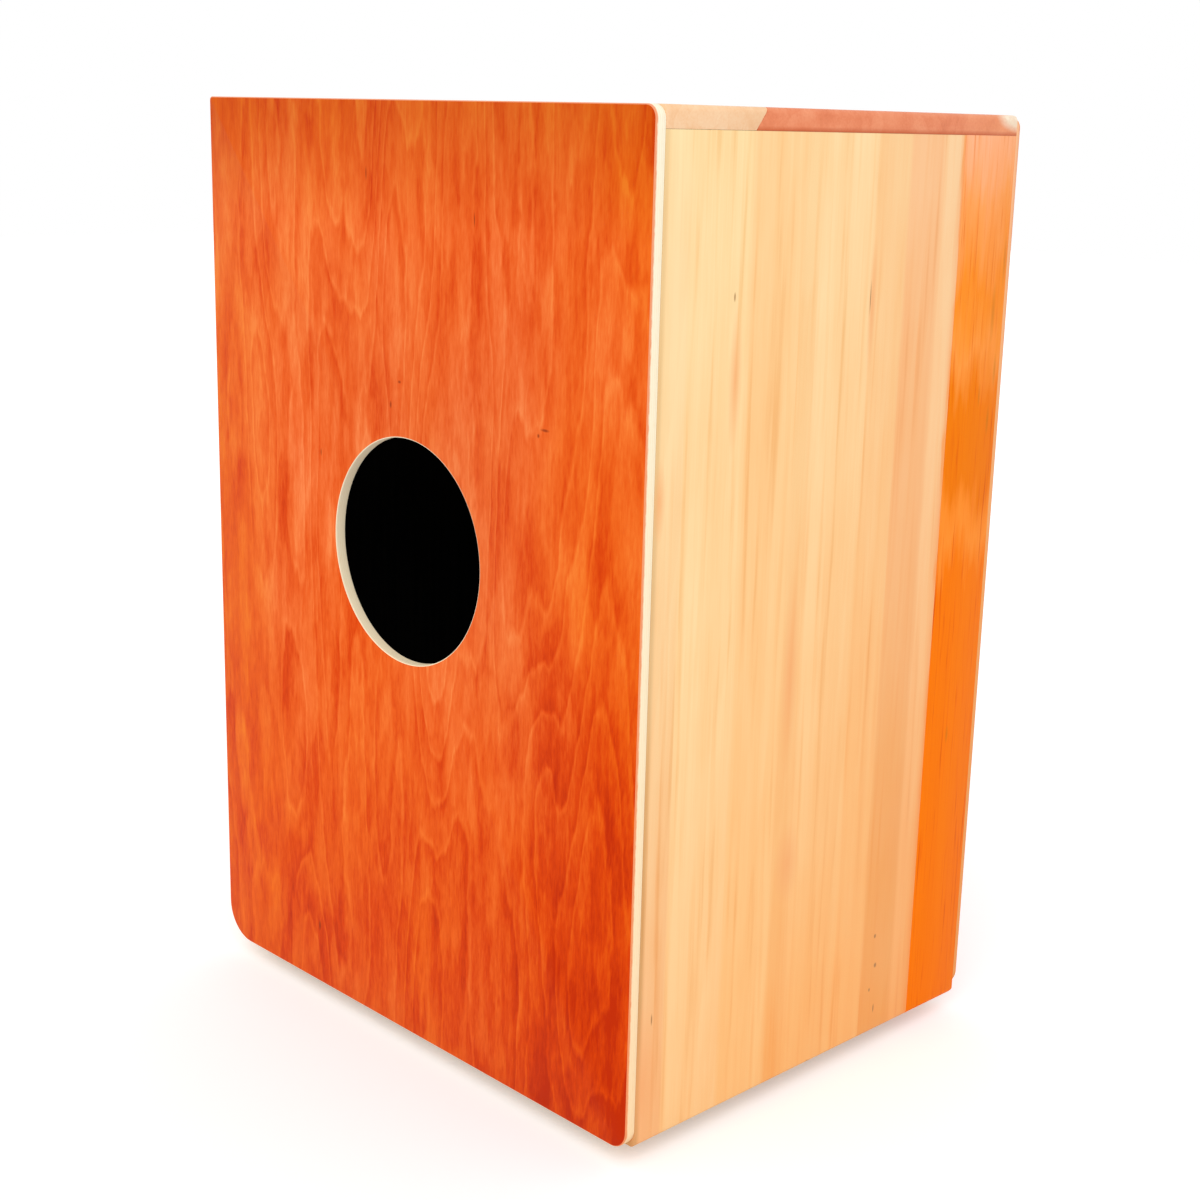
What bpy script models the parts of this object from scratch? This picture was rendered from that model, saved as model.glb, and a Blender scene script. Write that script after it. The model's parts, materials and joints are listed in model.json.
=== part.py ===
"""Cajon: a box drum of glued boards that the player sits on, with snares behind its playing face.

Metres. The origin is on the floor under the middle of the box, +Z is up, the playing face looks
along -Y and the sound hole along +Y. Left and right are those of the seated player, who looks
along -Y, so the left side is at +X.
"""

import math

import bmesh
import bpy
from mathutils import Vector

# The box
BOX_WIDTH = 0.334
BOX_DEPTH = 0.262
BOX_HEIGHT = 0.480
BACK_THICKNESS = 0.006
PLATE_THICKNESS = 0.003
SIDE_THICKNESS = 0.012
SEAT_THICKNESS = 0.010
BOTTOM_THICKNESS = 0.010
FIT_GAP = 0.0003

# The boards are glued from staves, and these say where their joints lie
FRONT_STAVE_WIDTH = 0.042
SEAT_REAR_STAVE_WIDTH = 0.060
SEAT_JOINT_LEAN = 0.008

# The sound hole, with its height above the underside of the box
SOUND_HOLE_RADIUS = 0.0575
SOUND_HOLE_HEIGHT = 0.261
SOUND_HOLE_SIDES = 72

# Corner radii of the two panels, of the boards between them, and of the box seen from the side:
# the box is rounded by hand after it is glued
PANEL_CORNERS = {"left top": 0.002, "right top": 0.006, "left bottom": 0.020, "right bottom": 0.010}
BOARD_CORNERS = {"left top": 0.002, "right top": 0.003, "left bottom": 0.020, "right bottom": 0.003}
SIDE_VIEW_CORNERS = {"back top": 0.001, "front top": 0.005, "back bottom": 0.001, "front bottom": 0.009}
CORNER_SEGMENTS = 6
SANDING_STOCK = 0.002

# Strips of wood inside the box
PLATE_BATTEN_HEIGHT = 0.014
PLATE_BATTEN_DEPTH = 0.018
CORNER_BATTEN_LEG = 0.014
CORNER_BATTEN_FLAT = 0.002

# Rubber feet, with the well that hides the screw head
FOOT_HEIGHT = 0.010
FOOT_TOP_RADIUS = 0.0125
FOOT_BASE_RADIUS = 0.0110
FOOT_INSET = 0.038
FOOT_WELL_RADIUS = 0.0055
FOOT_WELL_DEPTH = 0.005
FOOT_SIDES = 32

# Screws: head radius, head height, shank radius, whole length, and whether the head is countersunk
PLATE_SCREW = (0.0035, 0.0020, 0.00175, 0.016, True)
BLOCK_SCREW = (0.0035, 0.0020, 0.00175, 0.020, True)
FOOT_SCREW = (0.0040, 0.0024, 0.00175, 0.0144, False)
ANCHOR_SCREW = (0.0025, 0.0014, 0.00125, 0.0074, False)
SCREW_SIDES = 12
SCREW_POINT_LENGTH = 0.002
DRIVE_SLOT_WIDTH = 0.0009
DRIVE_SLOT_DEPTH = 0.0008
DRIVE_SLOT_SHARE = 0.65
PLATE_SCREWS_PER_END = 4
PLATE_SCREWS_PER_SIDE = 3
PLATE_SCREW_END_INSET = 0.032
PLATE_SCREW_SIDE_INSET = 0.075

# The snare bar, its blocks and its felt bushes
BAR_RADIUS = 0.010
BAR_FLAT_DEPTH = 0.002
BAR_FLAT_MARGIN = 0.006
BAR_SETBACK = 0.024
BAR_SIDES = 48
BLOCK_THICKNESS = 0.014
BLOCK_DEPTH = 0.040
BLOCK_HEIGHT = 0.060
BLOCK_SCREW_SPACING = 0.044
BUSH_WALL = 0.0019

# The snare strips that the bar carries
STRIP_WIDTH = 0.060
STRIP_SPACING = 0.120
STRIP_TIP_CLEARANCE = 0.014
STRIP_TOUCH_GAP = 0.0004
ANCHOR_PLATE_HEIGHT = 0.012
ANCHOR_PLATE_THICKNESS = 0.001
ANCHOR_SCREW_SPACING = 0.040
WIRE_LENGTH = 0.100
WIRE_COIL_DIAMETER = 0.002
WIRE_BAND_THICKNESS = 0.0005
END_PLATE_HEIGHT = 0.008
END_PLATE_THICKNESS = 0.001

# Finishes: colour, roughness, metallic
STAINED_PLYWOOD = ((0.76, 0.13, 0.02), 0.42, 0.0)
PALE_PINE = ((0.90, 0.62, 0.33), 0.45, 0.0)
ORANGE_PINE = ((0.90, 0.30, 0.05), 0.42, 0.0)
REDDISH_PINE = ((0.75, 0.32, 0.15), 0.45, 0.0)
BARE_BATTEN = ((0.62, 0.42, 0.22), 0.60, 0.0)
BEECH = ((0.66, 0.40, 0.20), 0.50, 0.0)
FELT = ((0.05, 0.06, 0.05), 0.95, 0.0)
RUBBER = ((0.02, 0.02, 0.02), 0.75, 0.0)
ZINC_STEEL = ((0.60, 0.58, 0.54), 0.35, 1.0)
SPRING_STEEL = ((0.70, 0.70, 0.72), 0.25, 1.0)

# Places that several pieces share
SIDE_X = BOX_WIDTH / 2
SIDE_INNER_X = SIDE_X - SIDE_THICKNESS
BACK_Y = BOX_DEPTH / 2
BACK_INNER_Y = BACK_Y - BACK_THICKNESS
PLATE_Y = -BOX_DEPTH / 2
PLATE_INNER_Y = PLATE_Y + PLATE_THICKNESS
BOX_BASE_Z = FOOT_HEIGHT
BOX_TOP_Z = FOOT_HEIGHT + BOX_HEIGHT
SEAT_UNDER_Z = BOX_TOP_Z - SEAT_THICKNESS
BOTTOM_UPPER_Z = BOX_BASE_Z + BOTTOM_THICKNESS
SIGN = {"left": 1, "right": -1, "back": 1, "front": -1, "top": 1, "bottom": -1}
X_AXIS, Y_AXIS, Z_AXIS = Vector((1, 0, 0)), Vector((0, 1, 0)), Vector((0, 0, 1))


def new_collection(name):
    collection = bpy.data.collections.new(name)
    bpy.context.scene.collection.children.link(collection)
    return collection


def paint(piece, finish):
    """Give a piece its own material."""
    colour, roughness, metallic = finish
    material = bpy.data.materials.new(piece.name)
    material.use_nodes = True
    shader = material.node_tree.nodes["Principled BSDF"]
    shader.inputs["Base Color"].default_value = (*colour, 1.0)
    shader.inputs["Roughness"].default_value = roughness
    shader.inputs["Metallic"].default_value = metallic
    piece.data = piece.data.copy()
    piece.data.materials.clear()
    piece.data.materials.append(material)


def add_piece(name, mesh, finish, parent=None):
    piece = bpy.data.objects.new(name, mesh)
    parts.objects.link(piece)
    piece.parent = parent
    paint(piece, finish)
    return piece


def add_cutter(name, mesh, parent=None):
    cutter = bpy.data.objects.new(name, mesh)
    cutters.objects.link(cutter)
    cutter.parent = parent
    cutter.hide_render = True
    cutter.display_type = "WIRE"
    return cutter


def cut(piece, cutter, operation="DIFFERENCE"):
    change = piece.modifiers.new(cutter.name, "BOOLEAN")
    change.operation = operation
    change.solver = "EXACT"
    change.object = cutter


def shape_mesh(name, shape):
    """Turn a bmesh into a mesh."""
    mesh = bpy.data.meshes.new(name)
    shape.to_mesh(mesh)
    shape.free()
    return mesh


def box_shape(low, high):
    """A box between two corners, as a bmesh."""
    low, high = Vector(low), Vector(high)
    shape = bmesh.new()
    bmesh.ops.create_cube(shape, size=1.0)
    bmesh.ops.scale(shape, vec=high - low, verts=shape.verts)
    bmesh.ops.translate(shape, vec=(low + high) / 2, verts=shape.verts)
    return shape


def box_mesh(name, low, high):
    return shape_mesh(name, box_shape(low, high))


def corner_box_mesh(name, low, high, along, corners, segments=CORNER_SEGMENTS):
    """A box whose edges along one axis are rounded, each by the radius of its named corner."""
    shape = box_shape(low, high)
    across = [i for i in range(3) if i != along]
    for corner, radius in corners.items():
        signs = [SIGN[word] for word in corner.split()]
        wanted = [high[i] if sign > 0 else low[i] for i, sign in zip(across, signs)]
        edges = [
            edge for edge in shape.edges
            if all(abs(v.co[i] - w) < 1e-6 for v in edge.verts for i, w in zip(across, wanted))
        ]
        bmesh.ops.bevel(shape, geom=edges, offset=radius, segments=segments, profile=0.5,
                        affect="EDGES", material=-1)
    return shape_mesh(name, shape)


def rod_mesh(name, radius, length, sides):
    """A round rod that is centred on the origin and runs along Z."""
    shape = bmesh.new()
    bmesh.ops.create_cone(shape, cap_ends=True, segments=sides, radius1=radius, radius2=radius,
                          depth=length)
    return shape_mesh(name, shape)


def evaluated_mesh(maker):
    """The mesh that an object's modifiers make, kept as a mesh of its own."""
    bpy.context.view_layer.update()
    graph = bpy.context.evaluated_depsgraph_get()
    return bpy.data.meshes.new_from_object(maker.evaluated_get(graph))


def turned_object(name, profile, sides, closed=False):
    """A profile of (radius, height) points, top to bottom on its outer side, turned round Z."""
    shape = bmesh.new()
    points = [shape.verts.new((radius, 0, height)) for radius, height in profile]
    for start, end in zip(points, points[1:]):
        shape.edges.new((start, end))
    if closed:
        shape.edges.new((points[-1], points[0]))
    maker = add_cutter(name, shape_mesh(name, shape))
    turn = maker.modifiers.new("turn", "SCREW")
    turn.angle = math.tau
    turn.steps = sides
    turn.render_steps = sides
    turn.use_merge_vertices = True
    turn.merge_threshold = 0.00001
    return maker


def turned_mesh(name, profile, sides, closed=False):
    maker = turned_object(name, profile, sides, closed)
    mesh = evaluated_mesh(maker)
    bpy.data.objects.remove(maker)
    return mesh


def screw_mesh(name, size):
    """A cross-head screw with its head's top at the origin and its point down."""
    head_radius, head_height, shank_radius, length, countersunk = size
    rim = 0.0 if countersunk else head_height
    profile = [
        (0, 0),
        (head_radius * (1.0 if countersunk else 0.7), 0),
        (head_radius, -rim * 0.4),
        (head_radius, -rim),
        (shank_radius, -head_height),
        (shank_radius, SCREW_POINT_LENGTH - length),
        (0, -length),
    ]
    if countersunk:
        del profile[2:4]
    maker = turned_object(name, profile, SCREW_SIDES)
    reach = head_radius * DRIVE_SLOT_SHARE
    slots = []
    for long_x, long_y in ((reach, DRIVE_SLOT_WIDTH / 2), (DRIVE_SLOT_WIDTH / 2, reach)):
        corner = Vector((long_x, long_y, DRIVE_SLOT_DEPTH))
        slots.append(add_cutter(f"{name}_slot", box_mesh(f"{name}_slot", -corner, corner)))
        cut(maker, slots[-1])
    mesh = evaluated_mesh(maker)
    for used in (maker, *slots):
        bpy.data.objects.remove(used)
    return mesh


def screw_hole_mesh(name, size):
    """The room that a screw takes in wood, with its fit gap, from above its head to its point."""
    head_radius, head_height, shank_radius, length, countersunk = size
    bore = shank_radius + FIT_GAP
    mouth = head_radius + FIT_GAP
    end = -length - FIT_GAP
    profile = [(0, SANDING_STOCK), (bore, SANDING_STOCK), (bore, end), (0, end)]
    if countersunk:
        profile[1:2] = [(mouth, SANDING_STOCK), (mouth, 0), (bore, -head_height)]
    return turned_mesh(name, profile, SCREW_SIDES)


def drive_screw(name, kind, head, direction, pieces, parent=None):
    """Put a screw with its head at a place, and drill the pieces that it goes into."""
    turn = (-direction).to_track_quat("Z", "Y").to_euler()
    screw = add_piece(name, screw_meshes[kind], ZINC_STEEL, parent)
    hole = add_cutter(f"{name}_hole", hole_meshes[kind], parent)
    for item in (screw, hole):
        item.location = head
        item.rotation_euler = turn
    for piece in pieces:
        cut(piece, hole)


def evenly(low, high, count):
    return [low + (high - low) * i / (count - 1) for i in range(count)]


def sand_to_outline(piece):
    """Take a glued board down to the outline of the finished box."""
    cut(piece, front_outline, "INTERSECT")
    cut(piece, side_outline, "INTERSECT")


def make_outlines():
    """The finished box's outline from the front and from the side, as two cutters."""
    low = Vector((-SIDE_X, PLATE_Y, BOX_BASE_Z))
    high = Vector((SIDE_X, BACK_Y, BOX_TOP_Z))
    along_y, along_x = Y_AXIS * SANDING_STOCK * 2, X_AXIS * SANDING_STOCK * 2
    from_front = corner_box_mesh("front_outline", low - along_y, high + along_y, 1, BOARD_CORNERS)
    from_side = corner_box_mesh("side_outline", low - along_x, high + along_x, 0, SIDE_VIEW_CORNERS)
    return add_cutter("front_outline", from_front), add_cutter("side_outline", from_side)


def make_back_panel():
    """Plywood over the whole back, with the sound hole."""
    low, high = (-SIDE_X, BACK_INNER_Y, BOX_BASE_Z), (SIDE_X, BACK_Y, BOX_TOP_Z)
    mesh = corner_box_mesh("back_panel", low, high, 1, PANEL_CORNERS)
    panel = add_piece("back_panel", mesh, STAINED_PLYWOOD)
    mesh = rod_mesh("sound_hole", SOUND_HOLE_RADIUS, BACK_THICKNESS * 3, SOUND_HOLE_SIDES)
    hole = add_cutter("sound_hole", mesh)
    hole.location = (0, BACK_Y - BACK_THICKNESS / 2, BOX_BASE_Z + SOUND_HOLE_HEIGHT)
    hole.rotation_euler = (math.pi / 2, 0, 0)
    cut(panel, hole)


def make_front_plate():
    """The thin playing face, screwed to the boards and battens behind it."""
    low, high = (-SIDE_X, PLATE_Y, BOX_BASE_Z), (SIDE_X, PLATE_INNER_Y, BOX_TOP_Z)
    mesh = corner_box_mesh("front_plate", low, high, 1, PANEL_CORNERS)
    plate = add_piece("front_plate", mesh, STAINED_PLYWOOD)
    cut(plate, side_outline, "INTERSECT")
    return plate


def make_sides():
    """Each side is a wide pale panel with an orange stave glued along its front edge."""
    joint_y = PLATE_INNER_Y + FIT_GAP + FRONT_STAVE_WIDTH
    low_z, high_z = BOX_BASE_Z - SANDING_STOCK, SEAT_UNDER_Z - FIT_GAP
    runs = {
        "side_panel": (joint_y + FIT_GAP, BACK_INNER_Y - FIT_GAP, PALE_PINE),
        "side_front_stave": (PLATE_INNER_Y + FIT_GAP, joint_y, ORANGE_PINE),
    }
    made = {}
    for hand in ("left", "right"):
        xs = sorted((SIGN[hand] * SIDE_INNER_X, SIGN[hand] * (SIDE_X + SANDING_STOCK)))
        for kind, (low_y, high_y, finish) in runs.items():
            name = f"{kind}_{hand}"
            mesh = box_mesh(name, (xs[0], low_y, low_z), (xs[1], high_y, high_z))
            made[name] = add_piece(name, mesh, finish)
            sand_to_outline(made[name])
    return {hand: made[f"side_front_stave_{hand}"] for hand in ("left", "right")}


def make_seat():
    """The seat laps over the sides and is glued from two woods on a leaning joint."""
    joint_y = BACK_INNER_Y - FIT_GAP - SEAT_REAR_STAVE_WIDTH
    middle_z = BOX_TOP_Z - SEAT_THICKNESS / 2
    slope = SEAT_JOINT_LEAN / SEAT_THICKNESS
    joint_gap = FIT_GAP * math.hypot(1, slope)
    runs = {
        "seat_rear_stave": (joint_y, BACK_INNER_Y - FIT_GAP, PALE_PINE),
        "seat_front_stave": (PLATE_INNER_Y + FIT_GAP, joint_y - joint_gap, REDDISH_PINE),
    }
    for name, (low_y, high_y, finish) in runs.items():
        outer_x, top_z = SIDE_X + SANDING_STOCK, BOX_TOP_Z + SANDING_STOCK
        shape = box_shape((-outer_x, low_y, SEAT_UNDER_Z), (outer_x, high_y, top_z))
        for vert in shape.verts:
            if abs(vert.co.y - joint_y) < SEAT_JOINT_LEAN:
                vert.co.y += slope * (middle_z - vert.co.z)
        sand_to_outline(add_piece(name, shape_mesh(name, shape), finish))


def make_bottom():
    low = (FIT_GAP - SIDE_INNER_X, PLATE_INNER_Y + FIT_GAP, BOX_BASE_Z - SANDING_STOCK)
    high = (SIDE_INNER_X - FIT_GAP, BACK_INNER_Y - FIT_GAP, BOTTOM_UPPER_Z)
    bottom = add_piece("bottom_board", box_mesh("bottom_board", low, high), PALE_PINE)
    sand_to_outline(bottom)
    return bottom


def make_battens():
    """Two strips behind the playing face for its screws, and four that glue the long corners."""
    inner_x = SIDE_INNER_X - FIT_GAP
    levels = {
        "top": (SEAT_UNDER_Z - FIT_GAP - PLATE_BATTEN_HEIGHT, SEAT_UNDER_Z - FIT_GAP),
        "bottom": (BOTTOM_UPPER_Z + FIT_GAP, BOTTOM_UPPER_Z + FIT_GAP + PLATE_BATTEN_HEIGHT),
    }
    front_y = PLATE_INNER_Y + FIT_GAP
    plate_battens = {}
    for level, (low_z, high_z) in levels.items():
        name = f"plate_batten_{level}"
        low, high = (-inner_x, front_y, low_z), (inner_x, front_y + PLATE_BATTEN_DEPTH, high_z)
        plate_battens[level] = add_piece(name, box_mesh(name, low, high), BARE_BATTEN)
    corner_z = {
        "top": (SEAT_UNDER_Z - FIT_GAP - CORNER_BATTEN_LEG, SEAT_UNDER_Z - FIT_GAP),
        "bottom": (BOTTOM_UPPER_Z + FIT_GAP, BOTTOM_UPPER_Z + FIT_GAP + CORNER_BATTEN_LEG),
    }
    start_y = front_y + PLATE_BATTEN_DEPTH + FIT_GAP
    for level, (low_z, high_z) in corner_z.items():
        for hand in ("left", "right"):
            xs = sorted((SIGN[hand] * inner_x, SIGN[hand] * (inner_x - CORNER_BATTEN_LEG)))
            open_side = "right" if hand == "left" else "left"
            open_level = "bottom" if level == "top" else "top"
            chamfer = {f"{open_side} {open_level}": CORNER_BATTEN_LEG - CORNER_BATTEN_FLAT}
            low, high = (xs[0], start_y, low_z), (xs[1], BACK_INNER_Y - FIT_GAP, high_z)
            name = f"corner_batten_{level}_{hand}"
            add_piece(name, corner_box_mesh(name, low, high, 1, chamfer, segments=1), BARE_BATTEN)
    return plate_battens


def make_feet(bottom):
    """Four turned rubber feet, each with a screw up through it into the bottom board."""
    bore = FOOT_SCREW[2] + FIT_GAP
    top = FOOT_HEIGHT - FIT_GAP
    profile = [
        (bore, top), (FOOT_TOP_RADIUS, top), (FOOT_BASE_RADIUS, 0),
        (FOOT_WELL_RADIUS, 0), (FOOT_WELL_RADIUS, FOOT_WELL_DEPTH), (bore, FOOT_WELL_DEPTH),
    ]
    mesh = turned_mesh("foot", profile, FOOT_SIDES, closed=True)
    head_z = FOOT_WELL_DEPTH - FIT_GAP - FOOT_SCREW[1]
    for end in ("front", "back"):
        for hand in ("left", "right"):
            x = SIGN[hand] * (SIDE_X - FOOT_INSET)
            y = SIGN[end] * (BACK_Y - FOOT_INSET)
            foot = add_piece(f"foot_{end}_{hand}", mesh, RUBBER)
            foot.location = (x, y, 0)
            drive_screw(f"foot_screw_{end}_{hand}", "foot", (x, y, head_z), Z_AXIS, [bottom])


def screw_on_front_plate(plate, front_staves, plate_battens):
    """Countersunk screws along all four edges of the playing face."""
    end_x = SIDE_INNER_X - PLATE_SCREW_END_INSET
    levels = {
        "top": SEAT_UNDER_Z - FIT_GAP - PLATE_BATTEN_HEIGHT / 2,
        "bottom": BOTTOM_UPPER_Z + FIT_GAP + PLATE_BATTEN_HEIGHT / 2,
    }
    for level, z in levels.items():
        for count, x in enumerate(evenly(-end_x, end_x, PLATE_SCREWS_PER_END), 1):
            pieces = [plate, plate_battens[level]]
            drive_screw(f"plate_screw_{level}_{count}", "plate", (x, PLATE_Y, z), Y_AXIS, pieces)
    side_x = SIDE_X - SIDE_THICKNESS / 2
    heights = evenly(BOX_BASE_Z + PLATE_SCREW_SIDE_INSET, BOX_TOP_Z - PLATE_SCREW_SIDE_INSET,
                     PLATE_SCREWS_PER_SIDE)
    for hand, stave in front_staves.items():
        for count, z in enumerate(heights, 1):
            place = (SIGN[hand] * side_x, PLATE_Y, z)
            drive_screw(f"plate_screw_{hand}_{count}", "plate", place, Y_AXIS, [plate, stave])


def make_snare_blocks(axis_y, axis_z, front_staves):
    """Two beech blocks screwed to the sides, each with a felt bush for the bar."""
    bush_inner = BAR_RADIUS + FIT_GAP
    bush_outer = bush_inner + BUSH_WALL
    bush_ring = [
        (bush_inner, BLOCK_THICKNESS / 2), (bush_outer, BLOCK_THICKNESS / 2),
        (bush_outer, -BLOCK_THICKNESS / 2), (bush_inner, -BLOCK_THICKNESS / 2),
    ]
    bush_mesh = turned_mesh("felt_bush", bush_ring, BAR_SIDES, closed=True)
    bore_mesh = rod_mesh("block_bore", bush_outer + FIT_GAP, BLOCK_THICKNESS * 2, BAR_SIDES)
    for hand in ("left", "right"):
        outer_x = SIDE_INNER_X - FIT_GAP
        xs = sorted((SIGN[hand] * outer_x, SIGN[hand] * (outer_x - BLOCK_THICKNESS)))
        low = (xs[0], axis_y - BLOCK_DEPTH / 2, axis_z - BLOCK_HEIGHT / 2)
        high = (xs[1], axis_y + BLOCK_DEPTH / 2, axis_z + BLOCK_HEIGHT / 2)
        name = f"snare_block_{hand}"
        block = add_piece(name, box_mesh(name, low, high), BEECH)
        bore = add_cutter(f"block_bore_{hand}", bore_mesh)
        bush = add_piece(f"felt_bush_{hand}", bush_mesh, FELT)
        for item in (bore, bush):
            item.location = (sum(xs) / 2, axis_y, axis_z)
            item.rotation_euler = (0, math.pi / 2, 0)
        cut(block, bore)
        for level in ("top", "bottom"):
            z = axis_z + SIGN[level] * BLOCK_SCREW_SPACING / 2
            head = (SIGN[hand] * (outer_x - BLOCK_THICKNESS), axis_y, z)
            name = f"block_screw_{hand}_{level}"
            drive_screw(name, "block", head, X_AXIS * SIGN[hand], [block, front_staves[hand]])


def make_snare_bar(axis):
    """A dowel that turns in the bushes, with a flat milled where the snare strips sit."""
    half_length = SIDE_INNER_X - FIT_GAP
    mesh = rod_mesh("snare_bar", BAR_RADIUS, half_length * 2, BAR_SIDES)
    bar = add_piece("snare_bar", mesh, BEECH, axis)
    bar.rotation_euler = (0, math.pi / 2, 0)
    flat_x = SIDE_INNER_X - FIT_GAP - BLOCK_THICKNESS - BAR_FLAT_MARGIN
    flat_y = BAR_FLAT_DEPTH - BAR_RADIUS
    low = (-flat_x, -BAR_RADIUS - SANDING_STOCK, -BAR_RADIUS - SANDING_STOCK)
    high = (flat_x, flat_y, BAR_RADIUS + SANDING_STOCK)
    cut(bar, add_cutter("bar_flat", box_mesh("bar_flat", low, high), axis))
    return bar


def make_snare_strips(axis, bar):
    """Each strip: an anchor plate screwed to the flat, the wires, and the plate at their tips."""
    seat_y = BAR_FLAT_DEPTH - BAR_RADIUS - FIT_GAP
    anchor_top = ANCHOR_PLATE_HEIGHT / 2
    wire_low = anchor_top + FIT_GAP
    wire_high = wire_low + WIRE_LENGTH
    end_low = wire_high + FIT_GAP
    wire_y = seat_y - WIRE_COIL_DIAMETER / 2
    layers = {
        "anchor_plate": (seat_y, ANCHOR_PLATE_THICKNESS, -anchor_top, anchor_top),
        "snare_wires": (wire_y + WIRE_BAND_THICKNESS / 2, WIRE_BAND_THICKNESS, wire_low, wire_high),
        "end_plate": (wire_y + END_PLATE_THICKNESS / 2, END_PLATE_THICKNESS, end_low,
                      end_low + END_PLATE_HEIGHT),
    }
    head_y = seat_y - ANCHOR_PLATE_THICKNESS - FIT_GAP - ANCHOR_SCREW[1]
    for hand in ("left", "right"):
        middle_x = SIGN[hand] * STRIP_SPACING / 2
        made = {}
        for kind, (back_y, thickness, low_z, high_z) in layers.items():
            name = f"{kind}_{hand}"
            low = (middle_x - STRIP_WIDTH / 2, back_y - thickness, low_z)
            high = (middle_x + STRIP_WIDTH / 2, back_y, high_z)
            made[kind] = add_piece(name, box_mesh(name, low, high), SPRING_STEEL, axis)
        for count, offset in enumerate((-ANCHOR_SCREW_SPACING / 2, ANCHOR_SCREW_SPACING / 2), 1):
            head = (middle_x + offset, head_y, 0)
            name = f"anchor_screw_{hand}_{count}"
            drive_screw(name, "anchor", head, Y_AXIS, [made["anchor_plate"], bar], axis)


def snare_axis_place():
    """How high the bar sits, and how far it leans its strips so that their tips meet the plate."""
    reach = ANCHOR_PLATE_HEIGHT / 2 + FIT_GAP + WIRE_LENGTH + FIT_GAP + END_PLATE_HEIGHT
    batten_under_z = SEAT_UNDER_Z - FIT_GAP - PLATE_BATTEN_HEIGHT
    tip_face = BAR_RADIUS - BAR_FLAT_DEPTH + FIT_GAP + (WIRE_COIL_DIAMETER + END_PLATE_THICKNESS) / 2
    forward = BAR_SETBACK - STRIP_TOUCH_GAP
    lean = math.asin(forward / math.hypot(tip_face, reach)) - math.atan2(tip_face, reach)
    return PLATE_INNER_Y + BAR_SETBACK, batten_under_z - STRIP_TIP_CLEARANCE - reach, lean


for old in list(bpy.data.objects):
    bpy.data.objects.remove(old, do_unlink=True)
parts = new_collection("cajon")
cutters = new_collection("cutters")

screw_sizes = {"plate": PLATE_SCREW, "block": BLOCK_SCREW, "foot": FOOT_SCREW, "anchor": ANCHOR_SCREW}
screw_meshes = {kind: screw_mesh(f"{kind}_screw", size) for kind, size in screw_sizes.items()}
hole_meshes = {kind: screw_hole_mesh(f"{kind}_hole", size) for kind, size in screw_sizes.items()}

front_outline, side_outline = make_outlines()
make_back_panel()
front_plate = make_front_plate()
staves = make_sides()
make_seat()
bottom_board = make_bottom()
battens = make_battens()
make_feet(bottom_board)
screw_on_front_plate(front_plate, staves, battens)

bar_y, bar_z, strip_lean = snare_axis_place()
make_snare_blocks(bar_y, bar_z, staves)
snare_axis = bpy.data.objects.new("snare_axis", None)
parts.objects.link(snare_axis)
snare_axis.location = (0, bar_y, bar_z)
snare_axis.rotation_euler = (strip_lean, 0, 0)
snare_bar = make_snare_bar(snare_axis)
make_snare_strips(snare_axis, snare_bar)
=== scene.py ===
import json
import math

import bmesh
import bpy
from mathutils import Matrix, Vector


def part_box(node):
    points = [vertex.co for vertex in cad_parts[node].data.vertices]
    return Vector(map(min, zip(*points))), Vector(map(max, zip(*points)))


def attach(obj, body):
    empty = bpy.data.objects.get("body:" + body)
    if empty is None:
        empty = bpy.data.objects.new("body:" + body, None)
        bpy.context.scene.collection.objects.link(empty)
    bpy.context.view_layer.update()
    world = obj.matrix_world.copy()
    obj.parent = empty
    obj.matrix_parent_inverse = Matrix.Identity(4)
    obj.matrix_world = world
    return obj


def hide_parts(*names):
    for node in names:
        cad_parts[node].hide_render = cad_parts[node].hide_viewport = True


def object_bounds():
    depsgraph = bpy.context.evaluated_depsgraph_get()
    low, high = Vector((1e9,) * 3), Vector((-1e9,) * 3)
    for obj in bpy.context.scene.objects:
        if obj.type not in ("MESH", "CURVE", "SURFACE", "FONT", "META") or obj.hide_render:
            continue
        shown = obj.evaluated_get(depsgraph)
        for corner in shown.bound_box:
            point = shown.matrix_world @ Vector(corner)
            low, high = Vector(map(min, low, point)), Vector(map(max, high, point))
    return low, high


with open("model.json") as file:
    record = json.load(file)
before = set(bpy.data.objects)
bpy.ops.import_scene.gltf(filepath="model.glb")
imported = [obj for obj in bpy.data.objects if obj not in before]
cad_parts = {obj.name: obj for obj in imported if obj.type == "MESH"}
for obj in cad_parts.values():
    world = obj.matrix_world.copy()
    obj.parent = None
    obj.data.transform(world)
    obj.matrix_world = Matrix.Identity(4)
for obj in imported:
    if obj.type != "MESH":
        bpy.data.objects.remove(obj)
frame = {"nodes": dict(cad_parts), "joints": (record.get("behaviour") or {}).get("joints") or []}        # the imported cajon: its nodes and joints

cad_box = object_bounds()

# ------------------------------------------------------------
# The studio: a white paper floor that keeps the cajon's shadow, an even white surround, and one
# wide soft lamp. The camera sees the sound hole and the sitter's right side. Metres, +Z up; the
# playing face looks along -Y, and the sitter's left is +X.

CAMERA_PLACE = (-0.7286, 0.7026, 0.4831)
CAMERA_TURN = (75.73, -1.37, -133.85)
CAMERA_LENS = 56.7
LAMP_FROM = (-0.55, 0.62, 0.75)
LAMP_STRENGTH = 0.90
LAMP_SPREAD = 40
SURROUND_LIGHT = 0.85
FLOOR_LIFT = 0.27
FLOOR_SIZE = 12.0


def linear(code):
    """A colour written as sRGB hex, in the linear values that a shader takes."""
    channels = [int(code[start:start + 2], 16) / 255 for start in (0, 2, 4)]
    return (*[c / 12.92 if c <= 0.04045 else ((c + 0.055) / 1.055) ** 2.4 for c in channels], 1.0)


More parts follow.
